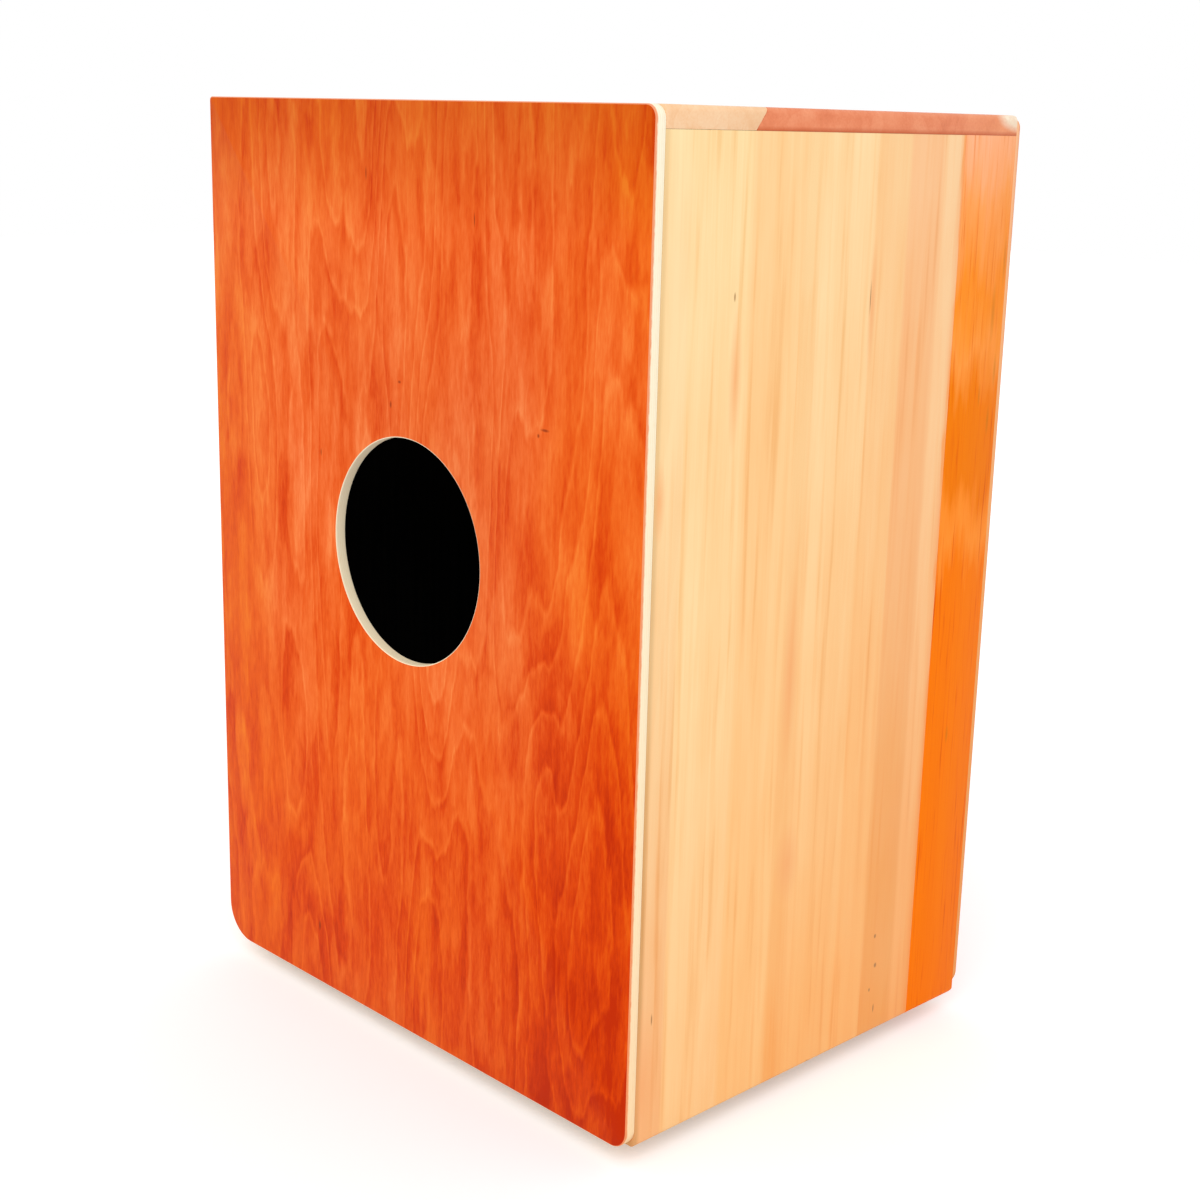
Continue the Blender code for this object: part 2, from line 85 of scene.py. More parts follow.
def add_node(tree, kind, links=(), stops=(), **settings):
    """Add a node with its settings, its inputs' values or links, and a colour ramp's stops."""
    node = tree.nodes.new(kind)
    for setting, value in settings.items():
        setattr(node, setting, value)
    for name, value in dict(links).items():
        entry = next(s for i, s in enumerate(node.inputs) if name in (i, s.name) and s.enabled)
        if isinstance(value, bpy.types.Node):
            value = next(s for s in value.outputs if s.enabled)
        if isinstance(value, bpy.types.NodeSocket):
            tree.links.new(value, entry)
        else:
            entry.default_value = value
    for count, (place, colour) in enumerate(stops):
        elements = node.color_ramp.elements
        stop = elements[count] if count < 2 else elements.new(place)
        stop.position = place
        stop.color = linear(colour) if isinstance(colour, str) else (colour, colour, colour, 1)
    return node


def new_material(name, **finish):
    """A material, its node tree and its shader, with the values that hold all over the surface."""
    material = bpy.data.materials.new(name)
    material.use_nodes = True
    shader = material.node_tree.nodes["Principled BSDF"]
    for words, value in finish.items():
        shader.inputs[words.replace("_", " ").title().replace("Ior", "IOR")].default_value = value
    return material, material.node_tree, shader


def seen_rays(tree):
    """1 for rays that show the surround as a background or a reflection, 0 for those that light."""
    path = add_node(tree, "ShaderNodeLightPath").outputs
    seen = add_node(tree, "ShaderNodeMath", {
        0: path["Is Camera Ray"], 1: path["Is Glossy Ray"]}, operation="MAXIMUM")
    return add_node(tree, "ShaderNodeMath", {
        0: seen, 1: path["Is Transmission Ray"]}, operation="MAXIMUM")


scene = bpy.context.scene
scene.view_settings.view_transform = "Standard"
scene.world = bpy.data.worlds.new("white_surround")
scene.world.use_nodes = True
tree = scene.world.node_tree
strength = add_node(tree, "ShaderNodeMapRange", {"Value": seen_rays(tree), "To Min": SURROUND_LIGHT})
tree.nodes["Background"].inputs["Color"].default_value = (1, 1, 1, 1)
tree.links.new(strength.outputs[0], tree.nodes["Background"].inputs["Strength"])

# White paper: dead matt, so that it shows nothing but the soft shadow
paper, tree, shader = new_material("matt_white_paper", base_color=(0.88, 0.88, 0.88, 1), roughness=1.0,
                                   specular_ior_level=0.0, emission_color=(1, 1, 1, 1))
lift = add_node(tree, "ShaderNodeMapRange", {"Value": seen_rays(tree), "To Max": FLOOR_LIFT})
tree.links.new(lift.outputs[0], shader.inputs["Emission Strength"])
shape = bmesh.new()
bmesh.ops.create_grid(shape, x_segments=1, y_segments=1, size=FLOOR_SIZE / 2)
mesh = bpy.data.meshes.new("floor")
shape.to_mesh(mesh)
shape.free()
mesh.materials.append(paper)
floor = bpy.data.objects.new("floor", mesh)
scene.collection.objects.link(floor)

lamp = bpy.data.objects.new("soft_lamp", bpy.data.lights.new("soft_lamp", "SUN"))
lamp.data.energy = LAMP_STRENGTH
lamp.data.angle = math.radians(LAMP_SPREAD)
lamp.rotation_euler = Vector(LAMP_FROM).to_track_quat("Z", "Y").to_euler()
scene.collection.objects.link(lamp)

camera = bpy.data.objects.new("camera", bpy.data.cameras.new("camera"))
camera.data.lens = CAMERA_LENS
camera.data.sensor_width = 36
camera.location = CAMERA_PLACE
camera.rotation_euler = [math.radians(turn) for turn in CAMERA_TURN]
scene.collection.objects.link(camera)
scene.camera = camera

# ------------------------------------------------------------
# The two sides: 12 mm panels, edge-glued from pale pine boards with upright grain, sanded flush
# and lacquered clear. The inside of the whole box is matt black, which is painted shade.

BOX_LOW = Vector((cad_box[0].x, cad_box[0].y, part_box("back_panel")[0].z))
BOX_HIGH = Vector(cad_box[1])
BACK_INNER_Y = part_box("back_panel")[0].y
SIDE_DEPTH_MM = 1000 * (BACK_INNER_Y - BOX_LOW.y)
CAD_GAP = 0.0003
GLUE_LINE = 0.00004
SIDE_EASED = 0.0002
BOX_EDGES_ALONG_Y = {(1, 1): 0.002, (-1, 1): 0.003, (1, -1): 0.020, (-1, -1): 0.003}
BOX_EDGES_ALONG_X = {(1, 1): 0.001, (-1, 1): 0.005, (1, -1): 0.001, (-1, -1): 0.009}
# From the back edge forwards: where a board starts and how soft its joint looks, both in mm,
# then its tone under the seat and at the foot; the paler top over the darker foot is painted light
SIDE_BOARDS = [
    (0, 0, "EFD5A2", "D3A068"),
    (2.2, 2.0, "FBE1AC", "F6BC84"),
    (17, 1.0, "FCE0AA", "FBCA8E"),
    (56, 3.0, "FCD49B", "FBC482"),
    (91, 3.0, "FAD49B", "F8B066"),
    (103, 7.0, "FDDDA8", "FBBC76"),
    (143, 5.0, "FBD098", "FCBA72"),
    (168, 3.0, "FBC48F", "F4A95C"),
    (194, 4.0, "FDD3A0", "FBB167"),
    (207, 4.0, "FBC792", "FAA252"),
]
# Small knots, resin flecks and dents on the right side: y and z, then width and height, in mm
SIDE_MARKS = [
    (78.4, 408.8, 1.4, 5.0), (-53.2, 66.4, 2.2, 3.0), (-54.9, 49.2, 2.6, 3.4), (-51.0, 36.0, 1.4, 2.6),
    (-55.5, 24.0, 1.2, 6.0), (-1.8, 11.0, 2.4, 3.0), (116.0, 74.0, 1.2, 7.0), (-17.5, 404.0, 0.9, 18.0),
]
# Soft stains in its wood, in the same way: resin in one joint, a blush along the back edge
SIDE_STAINS = [
    (23.0, 128.0, 20.0, 46.0), (28.0, 225.0, 13.0, 110.0), (122.0, 322.0, 8.0, 40.0),
    (121.0, 40.0, 18.0, 90.0), (-19.0, 400.0, 6.0, 70.0), (76.0, 372.0, 9.0, 70.0),
]
# How far a mark reaches into the wood, which keeps it off the opposite face
MARK_DEPTH = 0.004


def block(low, high):
    """A block between two corners."""
    shape = bmesh.new()
    bmesh.ops.create_cube(shape, size=1.0)
    bmesh.ops.scale(shape, vec=high - low, verts=shape.verts)
    bmesh.ops.translate(shape, vec=(low + high) / 2, verts=shape.verts)
    return shape


def glued_board(node, low_sides, high_sides):
    """A board where the frame has one, grown up to the glue line on its glued sides."""
    low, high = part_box(node)
    grown = CAD_GAP - GLUE_LINE
    return block(low - Vector(low_sides) * grown, high + Vector(high_sides) * grown)


def plane_off(shape, point, normal, finish=0):
    """Cut away what lies beyond a plane, and close the cut with a face in one of the finishes."""
    everything = shape.verts[:] + shape.edges[:] + shape.faces[:]
    cut = bmesh.ops.bisect_plane(shape, geom=everything, plane_co=point, plane_no=normal,
                                 clear_outer=True, dist=1e-6)
    rim = [item for item in cut["geom_cut"] if isinstance(item, bmesh.types.BMEdge)]
    rim = [edge for edge in rim if edge.is_valid and edge.is_boundary]
    if rim:
        for face in bmesh.ops.edgeloop_fill(shape, edges=rim)["faces"]:
            face.material_index = finish


def round_over(shape, along, signs, radius, finish=0, flats=10):
    """Sand one long edge of the glued box round, in narrow flats that blend into an arc."""
    first, second = [axis for axis in range(3) if axis != along]
    centre = Vector((0, 0, 0))
    for axis, sign in ((first, signs[0]), (second, signs[1])):
        centre[axis] = (BOX_HIGH if sign > 0 else BOX_LOW)[axis] - sign * radius
    for flat in range(flats):
        angle = (flat + 0.5) / flats * math.pi / 2
        normal = Vector((0, 0, 0))
        normal[first] = signs[0] * math.cos(angle)
        normal[second] = signs[1] * math.sin(angle)
        plane_off(shape, centre + normal * radius, normal, finish)


def ease_edges(shape, width):
    """Break the sharp edges with two narrow facets, and leave no sliver where they meet."""
    sharp = [edge for edge in shape.edges
             if edge.is_manifold and edge.calc_face_angle() > math.radians(40)]
    bmesh.ops.bevel(shape, geom=sharp, offset=width, segments=2, profile=0.5, affect="EDGES",
                    material=-1, clamp_overlap=True)
    bmesh.ops.dissolve_degenerate(shape, dist=2e-6, edges=shape.edges)


def sand_board(shape, inside, eased):
    """Sand a glued board down to the rounded box, give the face that looks inside the second
    finish, and break the edges."""
    for signs, radius in BOX_EDGES_ALONG_Y.items():
        round_over(shape, 1, signs, radius)
    for signs, radius in BOX_EDGES_ALONG_X.items():
        round_over(shape, 0, signs, radius)
    for face in shape.faces:
        if face.normal.dot(Vector(inside)) > 0.99:
            face.material_index = 1
    ease_edges(shape, eased)


def finish_piece(name, shape, materials, body, slot, *nodes):
    """Turn a shape into a piece with its finishes, on its body, in place of its CAD nodes."""
    for face in shape.faces:
        face.material_index = min(face.material_index, len(materials) - 1)
    mesh = bpy.data.meshes.new(name)
    shape.to_mesh(mesh)
    shape.free()
    for material in materials:
        mesh.materials.append(material)
    mesh.shade_smooth()
    mesh.set_sharp_from_angle(angle=math.radians(30))
    piece = bpy.data.objects.new(name, mesh)
    scene.collection.objects.link(piece)
    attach(piece, body)
    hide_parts(*nodes)
    return piece


def grain(tree, along, across_mm, along_mm, detail=2.0, shift=0.0):
    """Noise drawn out along the grain, from how wide and how long its streaks are."""
    scale = [1000 / across_mm] * 3
    scale["XYZ".index(along)] = 1000 / along_mm
    place = add_node(tree, "ShaderNodeTexCoord").outputs["Object"]
    drawn_out = add_node(tree, "ShaderNodeMapping", {"Vector": place, "Scale": scale})
    return add_node(tree, "ShaderNodeTexNoise", {
        "Vector": drawn_out, "W": shift, "Scale": 1.0, "Detail": detail}, noise_dimensions="4D")


def rings(tree, figure, count, stops):
    """Growth rings, as the contour lines of a slow figure; the stops give one ring's depth."""
    layers = add_node(tree, "ShaderNodeMath", {0: figure, 1: count}, operation="MULTIPLY")
    within = add_node(tree, "ShaderNodeMath", {0: layers}, operation="FRACT")
    return add_node(tree, "ShaderNodeValToRGB", {"Fac": within}, stops)


def blend_sum(tree, *weighted):
    """The sum of several patterns, each times its weight."""
    total = 0.0
    for pattern, weight in weighted:
        total = add_node(tree, "ShaderNodeMath", {
            0: pattern, 1: weight, 2: total}, operation="MULTIPLY_ADD")
    return total


def tinted(tree, tone, shade, stops):
    """A wood tone times what its figure does to it, from bare wood to its darkest lines."""
    cover = add_node(tree, "ShaderNodeValToRGB", {"Fac": shade}, stops)
    return add_node(tree, "ShaderNodeVectorMath", {0: tone, 1: cover}, operation="MULTIPLY")


def where(tree):
    """The X, Y and Z of a point on the surface."""
    place = add_node(tree, "ShaderNodeTexCoord").outputs["Object"]
    return add_node(tree, "ShaderNodeSeparateXYZ", {0: place}).outputs


def lay_finish(tree, shader, tone, relief, height_mm):
    """Colour the surface, and let a pattern stand up from it by a real height."""
    colour = next(s for s in tone.outputs if s.enabled)
    tree.links.new(colour, shader.inputs["Base Color"])
    bump = add_node(tree, "ShaderNodeBump", {"Height": relief, "Distance": height_mm / 1000})
    tree.links.new(bump.outputs[0], shader.inputs["Normal"])


def black_painted_shade():
    """Pine in matt black, which is painted shade: dark enough that the sound hole reads as a hole."""
    material, tree, shader = new_material("matt_black_painted_shade_pine", roughness=0.85,
                                          specular_ior_level=0.15)
    fibre = grain(tree, "Z", 3, 60, 3)
    tone = add_node(tree, "ShaderNodeValToRGB", {"Fac": fibre}, [(0.35, "0B0908"), (0.65, "171210")])
    lay_finish(tree, shader, tone, fibre, 0.1)
    return material


def board_ramp(tree, depth, column):
    """The side's boards from back to front, each in its own tone and with its joint's softness."""
    stops = [(0.0, SIDE_BOARDS[0][column])]
    for board, before in zip(SIDE_BOARDS[1:], SIDE_BOARDS):
        start, soft = board[:2]
        stops.append(((start - soft / 2) / SIDE_DEPTH_MM, before[column]))
        stops.append(((start + soft / 2) / SIDE_DEPTH_MM, board[column]))
    return add_node(tree, "ShaderNodeValToRGB", {"Fac": depth}, stops)


def spotted(tree, tone, marks, across, face_place, core, strength, colour):
    """A tone with marks on one face of the box, each an ellipse that fades from core to rim."""
    place = add_node(tree, "ShaderNodeTexCoord").outputs["Object"]
    mask = 0.0
    for middle, height, width, length in marks:
        centre = Vector((face_place, face_place, height / 1000))
        scale = Vector((1 / MARK_DEPTH, 1 / MARK_DEPTH, 2000 / length))
        centre["XY".index(across)] = middle / 1000
        scale["XY".index(across)] = 2000 / width
        local = add_node(tree, "ShaderNodeMapping", {
            "Vector": place, "Scale": scale, "Location": -centre * scale})
        reach = add_node(tree, "ShaderNodeVectorMath", {0: local}, operation="LENGTH")
        spot = add_node(tree, "ShaderNodeMapRange", {
            "Value": reach, "From Min": core, "From Max": 1.0, "To Min": strength, "To Max": 0.0})
        mask = add_node(tree, "ShaderNodeMath", {0: mask, 1: spot}, operation="MAXIMUM")
    return add_node(tree, "ShaderNodeMix", {"Factor": mask, "A": tone, "B": colour}, data_type="RGBA")


def pale_side_pine():
    """Edge-glued pine, sanded and lacquered clear: each board keeps its own tone and its own
    upright streaks, and its painted light runs from cream under the seat to honey at the foot."""
    material, tree, shader = new_material("lacquered_pale_pine", roughness=0.42,
                                          specular_ior_level=0.12)
    spot = where(tree)
    depth = add_node(tree, "ShaderNodeMapRange", {
        "Value": spot["Y"], "From Min": BACK_INNER_Y, "From Max": BOX_LOW.y})
    cloud = grain(tree, "Z", 30, 120, 2)
    lift = add_node(tree, "ShaderNodeMapRange", {
        "Value": cloud, "From Min": 0.3, "From Max": 0.7, "To Min": -0.05, "To Max": 0.05})
    height = add_node(tree, "ShaderNodeMath", {0: spot["Z"], 1: lift})
    height = add_node(tree, "ShaderNodeMapRange", {
        "Value": height, "From Min": 0.03, "From Max": 0.46})
    # Painted light: each board is paler under the seat and darker at the foot.
    foot = board_ramp(tree, depth, 3)
    top = board_ramp(tree, depth, 2)
    tone = add_node(tree, "ShaderNodeMix", {"Factor": height, "A": foot, "B": top}, data_type="RGBA")
    steps = [(board[0] / SIDE_DEPTH_MM, count / 10) for count, board in enumerate(SIDE_BOARDS)]
    board = add_node(tree, "ShaderNodeValToRGB", {"Fac": depth}, steps)
    board.color_ramp.interpolation = "CONSTANT"
    shift = add_node(tree, "ShaderNodeMath", {0: board, 1: 30.0}, operation="MULTIPLY")
    bands = grain(tree, "Z", 12, 420, 2, shift)
    lines = add_node(tree, "ShaderNodeMapRange", {
        "Value": grain(tree, "Z", 4.5, 150, 2, shift), "From Min": 0.52, "From Max": 0.75})
    growth = rings(tree, grain(tree, "Z", 70, 1100, 1, shift), 16,
                   [(0.0, 0.0), (0.7, 0.8), (0.92, 1.0), (1.0, 0.0)])
    fibre = grain(tree, "Z", 0.9, 26, 2)
    blots = grain(tree, "Z", 22, 60, 3, 3.0)
    shade = blend_sum(tree, (bands, 0.50), (lines, 0.20), (growth, 0.05), (fibre, 0.16), (blots, 0.22))
    tone = tinted(tree, tone, shade, [
        (0.38, "FFFFFF"), (0.54, "FEF4EA"), (0.72, "F5DABC"), (1.0, "DDB890")])
    tone = spotted(tree, tone, SIDE_STAINS, "Y", BOX_LOW.x, 0.0, 0.7, linear("F4A86C"))
    wander = add_node(tree, "ShaderNodeMath", {
        0: grain(tree, "Z", 4, 34, 2, 6.0), 1: 0.012, 2: spot["Y"]}, operation="MULTIPLY_ADD")
    stave_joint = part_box("side_panel_right")[0].y
    bleed = add_node(tree, "ShaderNodeMapRange", {
        "Value": wander, "From Min": stave_joint + 0.0058, "From Max": stave_joint + 0.0078,
        "To Min": 0.75, "To Max": 0.0})
    tone = add_node(tree, "ShaderNodeMix", {
        "Factor": bleed, "A": tone, "B": linear("FB9A48")}, data_type="RGBA")
    tone = spotted(tree, tone, SIDE_MARKS, "Y", BOX_LOW.x, 0.4, 0.8, linear("9C6C40"))
    lay_finish(tree, shader, tone, shade, 0.12)
    return material


pale_pine = pale_side_pine()
# The matt black of the inside stands in for the shade in the box: painted shade.
painted_shade_inside = black_painted_shade()
for hand, sign in (("left", 1), ("right", -1)):
    shape = glued_board(f"side_panel_{hand}", (0, 1, 0), (0, 1, 1))
    sand_board(shape, (-sign, 0, 0), SIDE_EASED)
    finish_piece(f"{hand}_side_boards", shape, [pale_pine, painted_shade_inside], "box", "pale_pine",
                 f"side_panel_{hand}")

# ------------------------------------------------------------
# The front stave of each side: a harder strip glued along the panel's front edge, which carries
# the screws of the playing face. It is stained orange, and the stain took unevenly; its pale top
# is a painted highlight.

# From the foot up: height in mm and tone; the pale tones from 440 mm up are a painted highlight
STAVE_TONES_AND_HIGHLIGHT = [
    (0, "F87A04"), (252, "F87C06"), (274, "FC9232"), (288, "FB8E2C"), (306, "F07C08"),
    (346, "F27E08"), (372, "FC9A42"), (386, "FB9636"), (400, "FA9028"), (440, "FCA35A"),
    (462, "FDB07C"), (484, "FFB68A"),
]
# Deeper strokes near the front edge: y and z, then width and height, in mm
STAVE_MARKS = [
    (-119.0, 392.0, 4.0, 34.0), (-124.0, 362.0, 3.0, 20.0), (-126.0, 418.0, 3.0, 30.0),
    (-121.0, 336.0, 3.0, 18.0), (-112.0, 350.0, 2.0, 14.0), (-105.0, 168.0, 3.0, 12.0),
]


def orange_stave_pine():
    """Pine under a transparent orange stain: saturated where the wood drank, pale where it did not,
    with the fibres showing through as fine darker strokes. Towards the top it turns pale in a
    painted highlight."""
    material, tree, shader = new_material("orange_stained_pine", roughness=0.45,
                                          specular_ior_level=0.04)
    spot = where(tree)
    ragged = add_node(tree, "ShaderNodeMapRange", {
        "Value": grain(tree, "Z", 9, 60, 4), "From Min": 0.2, "From Max": 0.8, "To Min": -0.03,
        "To Max": 0.03})
    height = add_node(tree, "ShaderNodeMath", {0: spot["Z"], 1: ragged})
    height = add_node(tree, "ShaderNodeMath", {0: height, 1: BOX_HIGH.z}, operation="DIVIDE")
    # The pale tones towards the top are a painted highlight.
    stops = [(z / 1000 / BOX_HIGH.z, tone) for z, tone in STAVE_TONES_AND_HIGHLIGHT]
    tone = add_node(tree, "ShaderNodeValToRGB", {"Fac": height}, stops)
    lines = add_node(tree, "ShaderNodeMapRange", {
        "Value": grain(tree, "Z", 1.6, 45, 3, 4.0), "From Min": 0.52, "From Max": 0.75})
    fibre = grain(tree, "Z", 0.8, 22, 2, 2.0)
    shade = blend_sum(tree, (grain(tree, "Z", 9, 300, 1, 1.0), 0.4), (lines, 0.45), (fibre, 0.35))
    tone = tinted(tree, tone, shade, [
        (0.3, "FFFFFF"), (0.55, "FCEFE0"), (0.8, "E6B878"), (1.0, "C07840")])
    tone = spotted(tree, tone, STAVE_MARKS, "Y", BOX_LOW.x, 0.0, 0.6, linear("C87418"))
    lay_finish(tree, shader, tone, shade, 0.12)
    return material


orange_pine = orange_stave_pine()
for hand, sign in (("left", 1), ("right", -1)):
    shape = glued_board(f"side_front_stave_{hand}", (0, 1, 0), (0, 0, 1))
    sand_board(shape, (-sign, 0, 0), SIDE_EASED)
    finish_piece(f"{hand}_front_stave", shape, [orange_pine, painted_shade_inside], "box", "orange_pine",
                 f"side_front_stave_{hand}")

# ------------------------------------------------------------
# The bottom board, pine with its grain across the box, glued between the sides; and the battens
# that glue the corners and take the plate's screws, in the same black painted shade as the rest of the
# inside.

CROSS_BOARD_EASED = 0.0003


def sanded_bottom_pine():
    """Sawn and sanded softwood without a finish: dry, even, with clear growth rings."""
    material, tree, shader = new_material("sanded_bottom_pine", roughness=0.6, specular_ior_level=0.2)
    growth = rings(tree, grain(tree, "X", 45, 700, 1), 14,
                   [(0.0, 0.0), (0.75, 0.75), (0.93, 1.0), (1.0, 0.0)])
    fibre = grain(tree, "X", 0.9, 30, 2)
    shade = blend_sum(tree, (growth, 0.35), (fibre, 0.45), (grain(tree, "X", 15, 200), 0.25))
    tone = add_node(tree, "ShaderNodeValToRGB", {"Fac": shade}, [
        (0.25, "F3D3A0"), (0.55, "E6BD84"), (0.85, "C8935A")])
    lay_finish(tree, shader, tone, shade, 0.15)
    return material


bottom_pine = sanded_bottom_pine()
shape = glued_board("bottom_board", (1, 1, 0), (1, 1, 0))
sand_board(shape, (0, 0, 1), CROSS_BOARD_EASED)
finish_piece("bottom_pine_board", shape, [bottom_pine, painted_shade_inside], "box", "pale_pine",
             "bottom_board")
for name, node in frame["nodes"].items():
    if "batten" in name:
        node.data.materials.clear()
        node.data.materials.append(painted_shade_inside)

# ------------------------------------------------------------
# The seat: a 10 mm board that laps over both sides, glued from a pale and a reddish wood on a
# leaning joint, with the grain from side to side, so that its ends show end grain.

SEAT_JOINT_LEAN = 0.008
# Where the reddish board's stain turns paler towards the front: y, from and to
SEAT_FRONT_FADE = (-0.075, -0.125)
# The dark line that the stain leaves along the lower joint: from and to, below the top
SEAT_STAIN_LINE = (0.0078, 0.0098)
# The right front corner, sanded through the stain: y and z, then width and height, in mm
RAW_CORNER = [(-131.0, 490.0, 42.0, 18.0)]


def seat_wood(name, tones, front_tone=None):
    """Lacquered softwood with long grain on top and arcs of growth rings on its ends. A stained
    board is darker where the stain gathered in the glue joint, and bare at one sanded corner."""
    material, tree, shader = new_material(name, roughness=0.42, specular_ior_level=0.10)
    growth = rings(tree, grain(tree, "X", 40, 800, 1), 12,
                   [(0.0, 0.0), (0.7, 0.7), (0.92, 1.0), (1.0, 0.0)])
    fibre = grain(tree, "X", 1.0, 30, 2)
    shade = blend_sum(tree, (growth, 0.07), (fibre, 0.3), (grain(tree, "X", 14, 160), 0.57))
    tone = add_node(tree, "ShaderNodeValToRGB", {"Fac": shade}, [
        (0.3, tones[0]), (0.52, tones[1]), (0.85, tones[2])])
    if front_tone:
        spot = where(tree)
        front = add_node(tree, "ShaderNodeMapRange", {
            "Value": spot["Y"], "From Min": SEAT_FRONT_FADE[0], "From Max": SEAT_FRONT_FADE[1]})
        cover = [(0.35, "FFFFFF"), (0.85, "E6C4B0")]
        pale = tinted(tree, linear(front_tone)[:3], shade, cover)
        tone = add_node(tree, "ShaderNodeMix", {
            "Factor": front, "A": tone, "B": pale}, data_type="RGBA")
        joint = add_node(tree, "ShaderNodeMapRange", {
            "Value": spot["Z"], "From Min": BOX_HIGH.z - SEAT_STAIN_LINE[0],
            "From Max": BOX_HIGH.z - SEAT_STAIN_LINE[1], "To Max": 0.75})
        tone = add_node(tree, "ShaderNodeMix", {
            "Factor": joint, "A": tone, "B": linear("C0562C")}, data_type="RGBA")
        raw = tinted(tree, linear("FFF4DC")[:3], shade, cover)
        tone = spotted(tree, tone, RAW_CORNER, "Y", BOX_LOW.x, 0.6, 0.9, raw)
    lay_finish(tree, shader, tone, shade, 0.12)
    return material


seat_woods = {
    "rear": seat_wood("lacquered_pale_seat_pine", ["FBD6AE", "F6C698", "E8AE7C"]),
    "front": seat_wood("reddish_stained_seat_pine", ["F09C74", "E68860", "CE6E48"], "F8A474"),
}
seat_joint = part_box("seat_rear_stave")[0].y + SEAT_JOINT_LEAN / 2
for end, (slot, away) in {"rear": ("pale_pine", 1), "front": ("reddish_pine", -1)}.items():
    low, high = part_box(f"seat_{end}_stave")
    low.z -= GLUE_LINE
    low.y -= CAD_GAP - GLUE_LINE
    high.y += CAD_GAP - GLUE_LINE
    shape = block(low, high)
    lean = Vector((0, 1, SEAT_JOINT_LEAN / (high.z - low.z))).normalized()
    middle = Vector((0, seat_joint, (low.z + high.z) / 2)) + lean * GLUE_LINE * away
    plane_off(shape, middle, -lean * away)
    sand_board(shape, (0, 0, -1), CROSS_BOARD_EASED)
    finish_piece(f"{end}_seat_board", shape, [seat_woods[end], painted_shade_inside], "box", slot,
                 f"seat_{end}_stave")

# ------------------------------------------------------------
# The back: 6 mm plywood with an orange-red stain, glued over the whole back of the box, its
# corners rounded by hand. The round sound hole is cut through it and its rims are sanded, which
# shows the pale plies.

PANEL_CORNERS = {(1, 1): 0.002, (-1, 1): 0.006, (1, -1): 0.020, (-1, -1): 0.010}
SOUND_HOLE_RADIUS = 0.0575
SOUND_HOLE_HEIGHT = 0.261
SOUND_HOLE_SIDES = 128
BOARD_EASED = 0.0005
# Where the two facets of an eased arris meet, as a share of its width
ARRIS_MIDDLE = 0.3
# An edge of the plywood further than this from the hole's centre is an outer edge
HOLE_SURROUND = 0.08
# The back's small marks: a knot low down, a short dark streak, and flecks near the sound hole
BACK_MARKS = [
    (76.7, 44.0, 2.6, 7.0), (-102.4, 346.0, 7.0, 1.8), (-98.0, 343.0, 2.0, 2.4), (70.0, 312.0, 1.2, 5.0),
    (30.0, 455.0, 1.2, 8.0), (4.0, 356.0, 3.0, 1.8), (11.0, 344.0, 1.8, 4.6), (-52.0, 437.0, 1.0, 8.0),
]


def outline(shape, size, corners, inset, depth):
    """A ring of edges: a rounded rectangle round the origin, drawn in a little, at one depth."""
    half_x, half_y = [side / 2 - inset for side in size]
    square = bmesh.ops.create_grid(shape, x_segments=1, y_segments=1, size=0.5)["verts"]
    bmesh.ops.scale(shape, vec=(half_x * 2, half_y * 2, 1), verts=square)
    face = square[0].link_faces[0]
    for signs, radius in corners.items():
        corner = next(v for v in face.verts if v.co.x * signs[0] > half_x - 1e-5
                      and v.co.y * signs[1] > half_y - 1e-5)
        made = bmesh.ops.bevel(shape, geom=[corner], offset=radius - inset, segments=10, profile=0.5,
                               affect="VERTICES", material=-1)
        face = made["verts"][0].link_faces[0]
    ring = face.edges[:]
    bmesh.ops.translate(shape, vec=(0, 0, depth), verts=face.verts[:])
    bmesh.ops.delete(shape, geom=[face], context="FACES_ONLY")
    return ring


def circle(shape, place, radius, depth, sides):
    """A ring of edges round a place, at one depth."""
    made = bmesh.ops.create_circle(shape, cap_ends=False, segments=sides, radius=radius,
                                   matrix=Matrix.Translation((*place, depth)))["verts"]
    return list({edge for vert in made for edge in vert.link_edges})


def drilled_board(size, corners, thickness, holes, eased, sides):
    """A board that faces -Z at the origin and is drilled along +Z. A hole is its place and its
    radius at several depths. Finish 0 is the face, 1 every edge and wall, 2 the other face."""
    shape = bmesh.new()
    arris = [(0, eased), (ARRIS_MIDDLE * eased, ARRIS_MIDDLE * eased), (eased, 0)]
    rings_down = arris + [(thickness - depth, inset) for depth, inset in arris[::-1]]
    walls = [[outline(shape, size, corners, inset, depth) for depth, inset in rings_down]]
    for place, radii in holes:
        walls.append([circle(shape, place, radius, depth, sides) for depth, radius in radii])
    for wall in walls:
        for first, second in zip(wall, wall[1:]):
            for face in bmesh.ops.bridge_loops(shape, edges=first + second)["faces"]:
                face.material_index = 1
    for end, finish in ((0, 0), (-1, 2)):
        rims = [edge for wall in walls for edge in wall[end]]
        filled = bmesh.ops.triangle_fill(shape, use_beauty=True, edges=rims, normal=(0, 0, 1))
        for face in filled["geom"]:
            if isinstance(face, bmesh.types.BMFace):
                face.material_index = finish
    bmesh.ops.recalc_face_normals(shape, faces=shape.faces)
    return shape


def stand(shape, place, right, up, inwards):
    """Put a shape that was made round the origin at its place, given where its X, Y and Z go."""
    turn = Matrix((right, up, inwards)).transposed().to_4x4()
    bmesh.ops.transform(shape, matrix=Matrix.Translation(place) @ turn, verts=shape.verts)
    bmesh.ops.recalc_face_normals(shape, faces=shape.faces)


